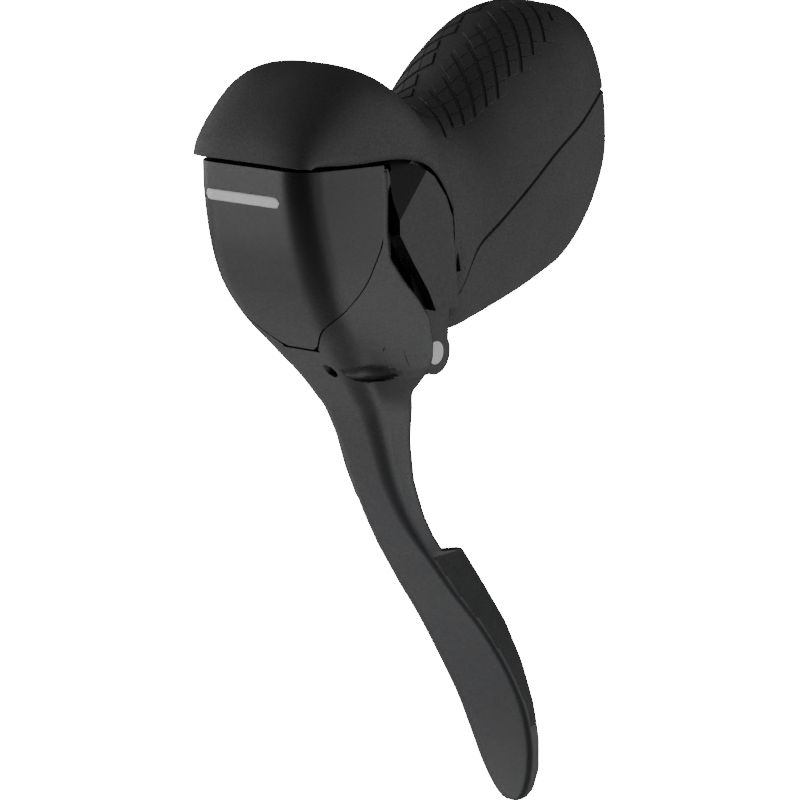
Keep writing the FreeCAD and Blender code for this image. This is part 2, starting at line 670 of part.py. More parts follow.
MAIN_PADDLE = ((-60.8, -39.0), (-60.8, -41.2), (-57.6, -44.9), (-54.4, -47.6), (-50.4, -53.0),
               (-47.9, -60.0), (-46.2, -64.5), (-42.9, -71.0), (-37.9, -77.5), (-34.2, -80.4),
               (-29.8, -77.0), (-28.6, -70.0), (-32.0, -62.5), (-38.0, -58.0), (-45.0, -57.2),
               (-48.6, -52.2), (-52.3, -47.4), (-55.9, -44.6), (-59.2, -41.4), (-59.2, -39.0))
RELEASE_PADDLE = ((-58.8, -39.0), (-58.7, -41.3), (-55.3, -44.0), (-50.9, -47.2), (-47.8, -50.9),
                  (-44.0, -54.2), (-39.0, -54.8), (-36.6, -51.5), (-38.5, -48.0), (-44.0, -46.2),
                  (-50.4, -44.5), (-56.2, -41.6), (-57.2, -39.0))
ARM_LOBE = ((-1.0, -5.6), (-9.4, -15.0), (-11.6, -22.0), (-11.6, -41.0), (-9.4, -41.0),
            (-9.4, -24.0), (-6.6, -18.6), (1.0, -14.4))
RELEASE_LOBE = ((-1.0, -5.6), (-9.4, -15.0), (-11.6, -22.0), (-11.6, -41.0), (-9.4, -41.0),
                (-9.4, -24.0), (-6.6, -18.6), (1.0, -14.4), (9.4, -4.6), (8.6, -1.8),
                (6.8, -2.0))


ROD_RADIUS = 0.8
RELEASE_ROD = (8.0, -3.4)


def pin(label, radius, front, back, place):
    x, z = place
    return keep(cylinder(label, str(radius), str(back - front), V(x, front, z), BACKWARD), label)


def coil(label, mean_radius, wire, front, back, place):
    """Small coil spring drawn as separate turns."""
    x, z = place
    pitch = 2 * wire + 0.12
    count = int((back - front) / pitch)
    turns = [Part.makeTorus(mean_radius, wire, V(x, front + wire + pitch * i, z), BACKWARD)
             for i in range(count)]
    return feature(label, Part.makeCompound(turns))


def make_shift_unit():
    front, back = STACK["spindle"]
    spindle = cylinder("shift_spindle", "Sizes.spindle_radius", str(back - front),
                       V(0, front, SPINDLE_Z), BACKWARD)
    keep(spindle, "shift_spindle")
    shaft = "Sizes.spindle_radius"
    loose = "Sizes.spindle_radius + Sizes.running_gap"
    nut = doc.addObject("Part::Prism", "nut_blank")
    nut.Polygon = 6
    nut.Circumradius = 3.7
    nut.Height = STACK["nut"][1] - STACK["nut"][0]
    nut.Placement = turned_placement(V(0, STACK["nut"][0], SPINDLE_Z), BACKWARD)
    thread = cylinder("nut_thread", shaft, "8", V(0, -86, SPINDLE_Z), BACKWARD)
    keep(cut("spindle_nut", nut, thread), "spindle_nut")
    stack_plate("shift_front_plate", "front_plate",
                ((-11.0, -8.0), (-8.0, -15.6), (8.0, -15.6), (11.0, -8.0), (11.0, 1.0),
                 (8.0, 3.0), (-8.0, 3.0), (-11.0, 1.0)), 1.5,
                ((0, SPINDLE_Z, size("spindle_radius")), (-9.6, -4.0, 0.9), (9.6, -4.0, 0.9)))
    screws = []
    for x in (-9.6, 9.6):
        screws.append(Part.makeCylinder(0.9, 5.0, V(x, -84.0, -4.0), BACKWARD)
                      .fuse(Part.makeCylinder(1.35, 1.1, V(x, -79.2, -4.0), BACKWARD)))
    feature("shift_plate_screws", Part.makeCompound(screws))
    screws = []
    for x in (-6.0, 6.0):
        screws.append(Part.makeCylinder(0.9, 4.2, V(x, -88.2, 3.0), BACKWARD)
                      .fuse(Part.makeCylinder(1.3, 0.9, V(x, -84.6, 3.0), BACKWARD)))
    feature("nameplate_screws", Part.makeCompound(screws))
    stack_tube("spindle_spacer", "spacer", "2.9", shaft)
    centre = (0, SPINDLE_Z)
    coil("spool_return_spring", 4.6, 0.55, *STACK["clock_spring"], centre)
    make_spool()
    make_ratchet()
    stack_plate("pawl_carrier", "carrier",
                ((-4.6, -5.4), (-10.2, -10.6), (-10.2, -14.2), (-8.4, -14.8), (-2.0, -14.8),
                 (4.6, -13.0), (4.6, -6.0)), 1.0,
                ((0, SPINDLE_Z, size("sleeve_radius")), (*PULL_PAWL, PAWL_PIN)))
    stack_tube("drive_sleeve", "sleeve", "Sizes.sleeve_radius", loose)
    coil("paddle_return_spring", 3.9, 0.4, *STACK["main_spring"], centre)
    paddle("shift_paddle", "main_arm", size("sleeve_radius"), ARM_LOBE, MAIN_PADDLE)
    release_bore = size("spindle_radius") + size("running_gap")
    paddle("release_paddle", "release_arm", release_bore, RELEASE_LOBE, RELEASE_PADDLE, [RELEASE_ROD])
    pin("release_rod", ROD_RADIUS, -70.2, -57.2, RELEASE_ROD)
    coil("release_return_spring", 2.8, 0.35, *STACK["release_spring"], centre)
    stack_tube("spindle_clip", "clip", "3.3", shaft)
    # pawls lie in the ratchet wheel's plane, on their own pins
    pin("holding_pawl_pin", PAWL_PIN, -70.6, BULKHEAD[0] + 2.0, HOLD_PAWL)
    pin("pull_pawl_pin", PAWL_PIN, -70.6, -66.6, PULL_PAWL)
    loose_pin = PAWL_PIN + size("running_gap")
    stack_plate("holding_pawl", "ratchet",
                ((6.9, -17.9), (9.8, -18.0), (10.3, -14.0), (10.6, -7.6), (9.4, -7.4),
                 (8.6, -12.6), (6.4, -14.4)), 0.4, ((*HOLD_PAWL, loose_pin),))
    stack_plate("pull_pawl", "ratchet",
                ((-10.2, -14.4), (-7.8, -14.6), (-7.3, -12.6), (-7.9, -7.9), (-8.6, -7.9),
                 (-10.2, -11.8)), 0.4, ((*PULL_PAWL, loose_pin),))
    coil("holding_pawl_spring", 1.55, 0.3, -68.4, -66.0, HOLD_PAWL)


make_shift_unit()


# ---------------------------------------------------------------- cable inlets
def make_inlets():
    """Ferrules: each has a socket for a housing and a smaller way through for its cable."""
    forward = V(0, -1, 0)
    for label, x, outer, socket in (("brake_housing_ferrule", BRAKE_INLET_X, 3.0, 2.55),
                                    ("gear_housing_ferrule", GEAR_INLET_X, 2.5, 2.05)):
        start = V(x, -21.0, INLET_Z)
        body = cylinder(label + "_outer", str(outer), "9", start, forward)
        mouth = cylinder(label + "_socket", str(socket), "7", start, forward)
        way = cylinder(label + "_way", "1.1", "9", start, forward)
        keep(cut(label, body, fuse(label + "_bore", [mouth, way])), label)


make_inlets()

# ---------------------------------------------------------------- check and write
doc.recompute()
for obj in doc.Objects:
    if "Invalid" in obj.State or "Error" in obj.State:
        raise RuntimeError("%s failed: %s" % (obj.Label, obj.State))
for item in nodes:
    shape = item.Shape
    if shape.isNull() or not shape.isValid() or not shape.Solids:
        raise RuntimeError("%s has no valid solid" % item.Label)

os.makedirs("parts", exist_ok=True)
for item in nodes:
    item.Shape.exportStep("parts/%s.step" % item.Label)
    print("%-24s solids %d  volume %.0f" % (item.Label, len(item.Shape.Solids), item.Shape.Volume))
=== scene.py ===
"""Brake and shift lever for a drop handlebar: the looks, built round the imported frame."""
import functools
import json
import math
import bmesh
import bpy
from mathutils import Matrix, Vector


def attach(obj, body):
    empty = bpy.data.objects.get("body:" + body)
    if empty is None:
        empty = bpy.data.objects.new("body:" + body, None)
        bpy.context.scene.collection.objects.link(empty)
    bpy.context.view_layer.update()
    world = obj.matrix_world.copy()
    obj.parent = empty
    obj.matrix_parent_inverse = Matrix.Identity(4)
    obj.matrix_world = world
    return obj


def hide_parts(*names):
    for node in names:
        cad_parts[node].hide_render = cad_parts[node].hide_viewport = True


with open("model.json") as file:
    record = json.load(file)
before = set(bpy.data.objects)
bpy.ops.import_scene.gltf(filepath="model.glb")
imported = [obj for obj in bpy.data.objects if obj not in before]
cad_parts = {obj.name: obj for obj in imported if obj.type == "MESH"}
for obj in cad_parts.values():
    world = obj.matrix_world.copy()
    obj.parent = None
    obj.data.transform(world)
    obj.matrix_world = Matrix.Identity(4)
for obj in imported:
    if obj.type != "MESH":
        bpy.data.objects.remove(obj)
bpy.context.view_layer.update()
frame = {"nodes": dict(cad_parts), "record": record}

MM = 0.001
SMALL = 1e-6
# Rounds of halving when a place is searched for along a table.
HALVINGS = 40
# Part of a noise's range that is spread between two colours.
RAMP_LOW, RAMP_HIGH = 0.35, 0.65


# ---------------------------------------------------------------- materials
def new_material(name):
    """A material, its node tree and its shader."""
    material = bpy.data.materials.new(name)
    material.use_nodes = True
    tree = material.node_tree
    shader = tree.nodes["Principled BSDF"]
    return material, tree, shader


def noise_node(tree, scale, detail, stretch=(1, 1, 1)):
    """Noise in object space, with its scale in features per metre."""
    place = tree.nodes.new("ShaderNodeTexCoord")
    mapping = tree.nodes.new("ShaderNodeMapping")
    mapping.inputs["Scale"].default_value = stretch
    noise = tree.nodes.new("ShaderNodeTexNoise")
    noise.inputs["Scale"].default_value = scale
    noise.inputs["Detail"].default_value = detail
    tree.links.new(place.outputs["Object"], mapping.inputs["Vector"])
    tree.links.new(mapping.outputs["Vector"], noise.inputs["Vector"])
    return noise


def ramp_node(tree, source, low, high):
    """Spreads the middle of a noise's range between two colours."""
    ramp = tree.nodes.new("ShaderNodeValToRGB")
    ramp.color_ramp.elements[0].position = RAMP_LOW
    ramp.color_ramp.elements[1].position = RAMP_HIGH
    ramp.color_ramp.elements[0].color = (*low, 1)
    ramp.color_ramp.elements[1].color = (*high, 1)
    tree.links.new(source, ramp.inputs["Fac"])
    return ramp


def surface(name, dark, light, rough, grain, relief, metallic=0.0, stretch=(1, 1, 1), patch=60.0,
            specular=0.5):
    """A finish with clouded colour (patches per metre), uneven roughness and fine relief (mm)."""
    material, tree, shader = new_material(name)
    shader.inputs["Metallic"].default_value = metallic
    shader.inputs["Specular IOR Level"].default_value = specular
    clouds = noise_node(tree, patch, 4.0)
    colour = ramp_node(tree, clouds.outputs["Fac"], dark, light)
    tree.links.new(colour.outputs["Color"], shader.inputs["Base Color"])
    fine = noise_node(tree, 1.0 / (grain * MM), 3.0, stretch)
    spread = ramp_node(tree, fine.outputs["Fac"], (rough[0],) * 3, (rough[1],) * 3)
    tree.links.new(spread.outputs["Color"], shader.inputs["Roughness"])
    bump = tree.nodes.new("ShaderNodeBump")
    bump.inputs["Strength"].default_value = 1.0
    bump.inputs["Distance"].default_value = relief * MM
    tree.links.new(fine.outputs["Fac"], bump.inputs["Height"])
    tree.links.new(bump.outputs["Normal"], shader.inputs["Normal"])
    return material


def grey(level, blue=0.0):
    """A grey of a given level, with its blue raised by a share."""
    return (level, level, level * (1 + blue))


MATERIALS = {
    "hood_rubber": surface("hood_rubber", grey(0.048), grey(0.06), (0.55, 0.7), 0.45, relief=0.035,
                           specular=0.3),
    "bracket_resin": surface("bracket_resin", grey(0.005), grey(0.008), (0.38, 0.48), 0.5, relief=0.01,
                             specular=0.4),
    "blade_alloy": surface("blade_alloy", grey(0.012, 0.25), grey(0.016, 0.25), (0.42, 0.52), 0.35,
                           relief=0.006, patch=45.0, specular=0.6),
    "blade_wall": surface("blade_wall", grey(0.004, 0.2), grey(0.008, 0.2), (0.4, 0.54), 0.25,
                          relief=0.012, stretch=(1, 1, 0.08), specular=0.25),
    "nameplate_plastic": surface("nameplate_plastic", grey(0.005, 0.1), grey(0.008, 0.1), (0.36, 0.47), 0.3,
                                 relief=0.012),
    "steel": surface("steel", grey(0.24), grey(0.34), (0.3, 0.44), 0.2, metallic=1.0, relief=0.004,
                     stretch=(0.2, 1, 1)),
    "black_steel": surface("black_steel", grey(0.02), grey(0.04), (0.3, 0.45), 0.25, metallic=0.6,
                           relief=0.005),
    "bushing_brass": surface("bushing_brass", (0.42, 0.27, 0.1), (0.56, 0.38, 0.16), (0.28, 0.42), 0.3,
                             metallic=1.0, relief=0.004),
    "spool_resin": surface("spool_resin", grey(0.05), grey(0.08), (0.4, 0.52), 0.4, relief=0.008),
    "spring_steel": surface("spring_steel", grey(0.3), grey(0.48), (0.22, 0.36), 0.2, metallic=1.0,
                            relief=0.004),
    "paddle_resin": surface("paddle_resin", grey(0.011), grey(0.018), (0.36, 0.48), 0.4, relief=0.012),
    "ferrule_alloy": surface("ferrule_alloy", grey(0.3), grey(0.42), (0.28, 0.42), 0.25, metallic=1.0,
                             relief=0.004),
    "mark_paint": surface("mark_paint", grey(0.72), grey(0.8), (0.5, 0.6), 0.3, relief=0.004),
}


def dress_cad_nodes():
    """Every CAD node that stays gets the procedural finish of its slot in the record."""
    for entry in frame["record"]["subparts"]:
        data = frame["nodes"][entry["node"]].data
        data.materials.clear()
        data.materials.append(MATERIALS[entry["material_slot"]])


# ---------------------------------------------------------------- curves and grids
def curve_value(values, place):
    """Catmull-Rom curve through values that stand at 0, 1, 2 and so on."""
    last = len(values) - 1
    place = min(max(place, 0.0), last)
    index = min(int(place), last - 1)
    part = place - index
    before = values[index - 1] if index > 0 else 2 * values[0] - values[1]
    after = values[index + 2] if index + 2 <= last else 2 * values[last] - values[last - 1]
    a, b = values[index], values[index + 1]
    bend = part * (2 * before - 5 * a + 4 * b - after + part * (3 * (a - b) + after - before))
    return a + 0.5 * part * (b - before + bend)


def station_at(stations, place):
    """All columns of a table at a place along its rows."""
    return [curve_value(column, place) for column in zip(*stations)]


def place_of(stations, column, wanted):
    """Place along the stations where a falling column reaches the wanted value."""
    low, high = 0.0, float(len(stations) - 1)
    values = [station[column] for station in stations]
    for _ in range(HALVINGS):
        middle = (low + high) / 2
        if curve_value(values, middle) > wanted:
            low = middle
        else:
            high = middle
    return (low + high) / 2


def line_value(table, wanted, column=1):
    """Straight-line value in a table whose first column falls."""
    for a, b in zip(table, table[1:]):
        if wanted >= b[0]:
            share = min(max((a[0] - wanted) / (a[0] - b[0]), 0.0), 1.0)
            return a[column] + (b[column] - a[column]) * share
    return table[-1][column]


def smooth_line(points, step, fineness=40):
    """Evenly spaced points on a smooth curve through a few points."""
    fine = [tuple(station_at(points, k / fineness)) for k in range(fineness * (len(points) - 1) + 1)]
    return even_points(fine, step)


def path_lengths(points):
    """Length along a line at each of its points."""
    lengths = [0.0]
    for a, b in zip(points, points[1:]):
        lengths.append(lengths[-1] + math.dist(a, b))
    return lengths


def even_points(points, step):
    """Points spaced about a step apart along a line."""
    lengths = path_lengths(points)
    count = max(2, round(lengths[-1] / step))
    return [point_along(points, lengths, lengths[-1] * k / count) for k in range(count + 1)]


def point_along(points, lengths, wanted):
    """Point at a wanted length along a line."""
    low, high = 0, len(lengths) - 1
    while high - low > 1:
        middle = (low + high) // 2
        if lengths[middle] <= wanted:
            low = middle
        else:
            high = middle
    share = (wanted - lengths[low]) / max(lengths[high] - lengths[low], SMALL)
    return tuple(a + (b - a) * share for a, b in zip(points[low], points[high]))


def mesh_object(name, points, faces, slot, body):
    """A smooth piece from points in millimetres, riding on a body."""
    mesh = bpy.data.meshes.new(name)
    mesh.from_pydata([Vector(p) * MM for p in points], [], faces)
    mesh.validate()
    mesh.update()
    piece = bpy.data.objects.new(name, mesh)
    bpy.context.scene.collection.objects.link(piece)
    mesh.materials.append(MATERIALS[slot])
    mesh.polygons.foreach_set("use_smooth", [True] * len(mesh.polygons))
    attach(piece, body)
    return piece


def grid_faces(rows, columns, closed=False, start=0):
    """Faces of a grid of points listed row by row; closed joins each row's ends."""
    faces = []
    for i in range(rows - 1):
        for j in range(columns if closed else columns - 1):
            a = start + i * columns + j
            b = start + i * columns + (j + 1) % columns
            faces.append((a, b, b + columns, a + columns))
    return faces


def fix_normals(piece):
    """Turns a closed piece's faces outward."""
    work = bmesh.new()
    work.from_mesh(piece.data)
    bmesh.ops.recalc_face_normals(work, faces=work.faces)
    work.to_mesh(piece.data)
    work.free()


def weld(piece, distance):
    """Joins points that stand closer than a distance in millimetres."""
    work = bmesh.new()
    work.from_mesh(piece.data)
    bmesh.ops.remove_doubles(work, verts=work.verts, dist=distance * MM)
    work.to_mesh(piece.data)
    work.free()


def face_up(piece):
    """Turns a skin's faces so that its top face points up."""
    top = max(piece.data.polygons, key=lambda face: face.center.z)
    if top.normal.z < 0:
        piece.data.flip_normals()


def face_front(piece):
    """Turns a skin's faces so that its foremost face points forward."""
    foremost = min(piece.data.polygons, key=lambda face: face.center.y)
    if foremost.normal.y > 0:
        piece.data.flip_normals()


def give_thickness(piece, thickness):
    """Thickens a skin inward by a number of millimetres."""
    shell = piece.modifiers.new("thickness", "SOLIDIFY")
    shell.thickness = thickness * MM
    shell.offset = -1
    shell.use_even_offset = False


def soft_edges(piece, width, angle, segments):
    """Rounds the edges that are sharper than an angle, by a width in millimetres."""
    bevel = piece.modifiers.new("soft_edges", "BEVEL")
    bevel.width = width * MM
    bevel.segments = segments
    bevel.limit_method = "ANGLE"
    bevel.angle_limit = math.radians(angle)
    bevel.harden_normals = False


def shade_by_angle(piece, angle):
    """Shades a piece smooth, except across edges sharper than an angle."""
    for other in bpy.context.selected_objects:
        other.select_set(False)
    bpy.context.view_layer.objects.active = piece
    piece.select_set(True)
    bpy.ops.object.shade_smooth_by_angle(angle=math.radians(angle))
    piece.select_set(False)


# ---------------------------------------------------------------- hood
# Sections of the hood: depth and height of the crest, depth and height of the floor, half width, and
# squareness above and below the middle. The last six fan forward over the nose.
HOOD_STATIONS = (
    (4.6, 29.6, 4.6, -28.4, 17.6, 2.5, 1.5),
    (-5.0, 31.0, -5.0, -31.2, 18.1, 2.4, 1.6),
    (-16.0, 29.2, -14.0, -33.0, 17.6, 2.3, 1.8),
    (-27.0, 23.0, -24.0, -34.8, 16.8, 2.3, 2.0),
    (-37.0, 14.0, -33.0, -35.6, 16.2, 2.4, 2.2),
    (-46.0, 12.8, -41.0, -31.0, 16.6, 2.5, 2.4),
    (-54.0, 18.2, -50.0, -16.0, 17.0, 2.6, 2.6),
    (-63.0, 22.9, -59.0, -4.0, 17.4, 2.7, 2.7),
    (-72.0, 24.9, -66.5, -3.0, 17.3, 2.7, 2.8),
    (-80.0, 23.3, -71.5, -3.0, 17.0, 2.6, 2.9),
    (-86.5, 17.7, -75.0, -1.0, 16.4, 2.7, 3.0),
    (-90.4, 11.8, -78.0, 2.0, 15.8, 3.0, 3.2),
    (-91.6, 7.2, -80.0, 5.0, 15.3, 3.3, 3.3),
)
# Places along the stations: the grip's end, the neck, and the nose, from where the sections end at
# a share of their height that falls evenly to the tip's share.
GRIP_PLACE, NECK_PLACE, NOSE_PLACE = 4.2, 5.0, 10.0
TIP_SHARE = 0.5
GRIP_STEPS, NECK_STEPS, NOSE_STEPS = 42, 18, 22
# Side views of the rim and of the seam below the grip: depth and height.
RIM = ((-41.0, -31.0), (-42.6, -26.0), (-43.6, -18.0), (-44.6, -8.6), (-46.8, -3.2), (-50.6, 1.6),
       (-55.5, 4.3), (-63.0, 5.4), (-74.0, 5.8), (-84.0, 6.3), (-92.0, 6.9))
SEAM = ((6.0, 13.6), (1.2, 10.2), (-4.4, 6.1), (-12.0, 1.3), (-21.1, -5.7), (-29.0, -11.4),
        (-35.0, -15.2), (-37.4, -18.6), (-38.6, -22.8), (-40.2, -29.4))
# Spacing of the lines' points, and of the sections along the rim with their least gap in places.
LINE_STEP, RIM_PITCH, LEAST_GAP, NOSE_GAP = 0.5, 1.1, 0.004, 0.02
HOOD_THICKNESS = 1.9
# Section of the seam's groove: offsets in millimetres and shares of its depth.
GROOVE_DEPTH = 0.6
GROOVE_ROWS = ((-1.1, 0.0), (-0.42, 0.0), (-0.24, 0.75), (0.0, 1.0), (0.24, 0.75), (0.42, 0.0), (1.1, 0.0))
# Least skin between groove and rim, and the places before the neck over which the groove fades.
GROOVE_ROOM = 4.2
GROOVE_STOP, GROOVE_FADE = 0.05, 0.25
# The rim rolls inward by so many groove depths over its last millimetres, from the neck onward.
RIM_TUCK, RIM_ROUND, TUCK_GROWTH = 1.5, 2.3, 1.5
ARC_STEPS, TOP_ROWS, LOW_ROWS = 240, 34, 18


@functools.lru_cache(maxsize=4096)
def hood_arc(place):
    """Points of one half section from the crest down to the floor, with their arc lengths."""
    crest_y, crest_z, floor_y, floor_z, half_width, above, below = station_at(HOOD_STATIONS, place)
    points, lengths = [], [0.0]
    for k in range(ARC_STEPS + 1):
        angle = math.pi * k / ARC_STEPS
        square = above if 2 * k < ARC_STEPS else below
        level = math.copysign(abs(math.cos(angle)) ** (2 / square), math.cos(angle))
        x = half_width * math.sin(angle) ** (2 / square) if 0 < k < ARC_STEPS else 0.0
        y = (crest_y + floor_y) / 2 + (crest_y - floor_y) / 2 * level
        z = (crest_z + floor_z) / 2 + (crest_z - floor_z) / 2 * level
        points.append((x, y, z))
        if k:
            lengths.append(lengths[-1] + math.dist(points[-1], points[-2]))
    return points, lengths


def crossing(place, line):
    """Where a side-view line crosses a section, as a share from the crest to the floor."""
    crest_y, crest_z, floor_y, floor_z = station_at(HOOD_STATIONS, place)[:4]
    run_y, run_z = floor_y - crest_y, floor_z - crest_z
    sides = [run_y * (z - crest_z) - run_z * (y - crest_y) for y, z in line]
    for (a, b), (p, q) in zip(zip(sides, sides[1:]), zip(line, line[1:])):
        if (a <= 0 < b) or (b <= 0 < a):
            share = a / (a - b)
            y, z = p[0] + (q[0] - p[0]) * share, p[1] + (q[1] - p[1]) * share
            return ((y - crest_y) * run_y + (z - crest_z) * run_z) / (run_y ** 2 + run_z ** 2)
    return 1.0


def rim_share(place, rim):
    """Share of a section's height at which the hood's rim cuts it off."""
    if place <= NOSE_PLACE:
        return crossing(place, rim)
    part = (place - NOSE_PLACE) / (len(HOOD_STATIONS) - 1 - NOSE_PLACE)
    return crossing(NOSE_PLACE, rim) * (1 - part) + TIP_SHARE * part


def arc_at_share(place, points, lengths, share):
    """Arc length from the crest at which a section reaches a share of its height."""
    level = 1 - 2 * min(max(share, 0.0), 1.0)
    square = station_at(HOOD_STATIONS, place)[5 if level > 0 else 6]
    angle = math.acos(math.copysign(abs(level) ** (square / 2), level))
    position = angle / math.pi * ARC_STEPS
    low = min(int(position), ARC_STEPS - 1)
    return lengths[low] + (lengths[low + 1] - lengths[low]) * (position - low)


def place_of_point(y, z, low, high):
    """Place of the section line that passes through a side-view point."""
    def side(place):
        """Which side of a section line the point lies on, by sign."""
        crest_y, crest_z, floor_y, floor_z = station_at(HOOD_STATIONS, place)[:4]
        return (floor_y - crest_y) * (z - crest_z) - (floor_z - crest_z) * (y - crest_y)
    start = side(low)
    for _ in range(HALVINGS):
        middle = (low + high) / 2
        if side(middle) * start > 0:
            low = middle
        else:
            high = middle
    return (low + high) / 2


def hood_columns():
    """Places of the hood's sections: even along the grip, then one for each point of the rim."""
    columns = [GRIP_PLACE * k / GRIP_STEPS for k in range(GRIP_STEPS + 1)]
    columns += [GRIP_PLACE + (NECK_PLACE - GRIP_PLACE) * k / NECK_STEPS for k in range(1, NECK_STEPS)]
    last = len(HOOD_STATIONS) - 1.0
    for y, z in smooth_line(RIM, RIM_PITCH)[1:-1]:
        place = place_of_point(y, z, NECK_PLACE, last)
        if columns[-1] + LEAST_GAP < place < NOSE_PLACE - NOSE_GAP:
            columns.append(place)
    return columns + [NOSE_PLACE + (last - NOSE_PLACE) * k / NOSE_STEPS for k in range(NOSE_STEPS + 1)]


def hood_rows(place, rim, seam):
    """Arc positions of one half section and how deep the groove is at each."""
    points, lengths = hood_arc(place)
    grip = place <= NECK_PLACE
    end = lengths[-1] if grip else arc_at_share(place, points, lengths, rim_share(place, rim))
    cut = arc_at_share(place, points, lengths, crossing(place, seam)) if grip else end
    cut = min(cut, end - GROOVE_ROOM)
    first, last = cut + GROOVE_ROWS[0][0], cut + GROOVE_ROWS[-1][0]
    fade = min(1.0, max(0.0, (NECK_PLACE - GROOVE_STOP - place) / GROOVE_FADE))
    tuck = 0.0 if grip else RIM_TUCK * min(1.0, (place - NECK_PLACE) / TUCK_GROWTH)
    rows = [(first * k / TOP_ROWS, 0.0) for k in range(TOP_ROWS)]
    rows += [(cut + offset, depth * fade) for offset, depth in GROOVE_ROWS]
    for k in range(1, LOW_ROWS + 1):
        left = (end - last) * (1 - k / LOW_ROWS)
        rows.append((end - left, tuck * max(0.0, 1 - left / RIM_ROUND) ** 2))
    return [(point_along(points, lengths, arc), depth) for arc, depth in rows]


def unit_normal(grid, i, j):
    """Direction square to a grid of points at one of them."""
    rows, columns = len(grid), len(grid[0])
    a = Vector(grid[min(i + 1, rows - 1)][j]) - Vector(grid[max(i - 1, 0)][j])
    b = Vector(grid[i][min(j + 1, columns - 1)]) - Vector(grid[i][max(j - 1, 0)])
    return a.cross(b).normalized()


def make_hood():
    """The rubber cover: one continuous skin from the open rear end over the grip to the nose."""
    rim, seam = smooth_line(RIM, LINE_STEP), smooth_line(SEAM, LINE_STEP)
    grid, depths = [], []
    for place in hood_columns():
        half = hood_rows(place, rim, seam)
        other = [((-x, y, z), depth) for (x, y, z), depth in half[:0:-1]]
        line = other + half
        grid.append([point for point, depth in line])
        depths.append([depth for point, depth in line])
    points = []
    for i, line in enumerate(grid):
        for j, point in enumerate(line):
            points.append(Vector(point) - unit_normal(grid, i, j) * GROOVE_DEPTH * depths[i][j])
    hood = mesh_object("hood_cover", points, grid_faces(len(grid), len(grid[0])), "hood_rubber", "bracket")
    weld(hood, 0.05)
    face_up(hood)
    give_thickness(hood, HOOD_THICKNESS)
    soft_edges(hood, 0.35, 60, 2)
    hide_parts("hood")


# Grip relief: rows and columns of small ramps that run aslant over each side of the grip.
LENGTH_PER_PLACE = 10.3
ROW_SLOPE, COLUMN_SLOPE = 0.43, 0.45
# Distances from row to row, measured down the side, and from column to column, along the grip.
ROW_PITCH = 2.8 * math.sqrt(1.18)
COLUMN_PITCH = 3.3 * math.sqrt(1.2)
ROW_START = 2.0
TILE_ROWS, TILE_COLUMNS = range(-2, 16), range(-3, 18)
TILE_HALF_WIDTH, TILE_HALF_HEIGHT = 1.2, 1.36
# Heights of a ramp's lower edge, of its flush upper edge and of its foot inside the skin.
TILE_LIFT, TILE_FLUSH, TILE_SINK = 0.38, 0.02, 0.3
# Small steps along the skin, down its side and in places, that give its direction.
SKIN_STEP, PLACE_STEP = 0.3, 0.03
# Grid of one ramp, in shares of its half height and half width, and the way round its border.
TILE_DOWN = (-1.0, -0.33, 0.33, 1.0)
TILE_ACROSS = (-1.0, 0.0, 1.0)
TILE_BORDER = (0, 1, 2, 5, 8, 11, 10, 9, 6, 3)
# How far down from the crest the relief reaches, by place along the grip.
TILE_REACH = ((4.55, 12.5), (3.6, 15.4), (3.2, 17.8), (1.7, 17.8), (1.3, 16.4), (0.9, 12.4), (0.7, 9.0))
TILE_TOP = 1.6
# Places where the relief starts and ends, where it fades out, and the fade's millimetres per place.
TILE_START, TILE_END = 0.8, 4.5
FADE_START, FADE_END, FADE_SCALE = 0.7, 4.6, 8
# Height of the outermost ramps as a share, and the millimetres over which it grows to a full one.
EDGE_SHARE, EDGE_RUN = 0.35, 3.5


def hood_point(along, arc, lift):
    """Point of the hood's skin at a length along the grip and an arc from the crest."""
    place = along / LENGTH_PER_PLACE
    points, lengths = hood_arc(place)
    here = Vector(point_along(points, lengths, arc))
    down = Vector(point_along(points, lengths, arc + SKIN_STEP)) - here
    next_points, next_lengths = hood_arc(place + PLACE_STEP)
    forward = Vector(point_along(next_points, next_lengths, arc)) - here
    return here + down.cross(forward).normalized() * lift


def tile_block(along, arc, strength):
    """Corners of one ramp: flush at its upper edge and raised at its lower edge."""
    row_run = math.hypot(1, ROW_SLOPE)
    column_run = math.hypot(1, COLUMN_SLOPE)
    tops, feet = [], []
    for down in TILE_DOWN:
        for across in TILE_ACROSS:
            step_row = across * TILE_HALF_WIDTH / row_run
            step_column = down * TILE_HALF_HEIGHT / column_run
            length = along + step_row + COLUMN_SLOPE * step_column
            reach = arc - ROW_SLOPE * step_row + step_column
            lift = TILE_FLUSH + TILE_LIFT * strength * (down + 1) / 2
            tops.append(hood_point(length, reach, lift))
            feet.append(hood_point(length, reach, -TILE_SINK))
    return tops, feet


def tile_room(along, arc):
    """How far inside the relief's outline a ramp stands, in millimetres; below 0 it is outside."""
    place = along / LENGTH_PER_PLACE
    if not TILE_START < place < TILE_END:
        return -1.0
    down = min(arc - TILE_TOP, line_value(TILE_REACH, place) - arc)
    return min(down, (place - FADE_START) * FADE_SCALE, (FADE_END - place) * FADE_SCALE)


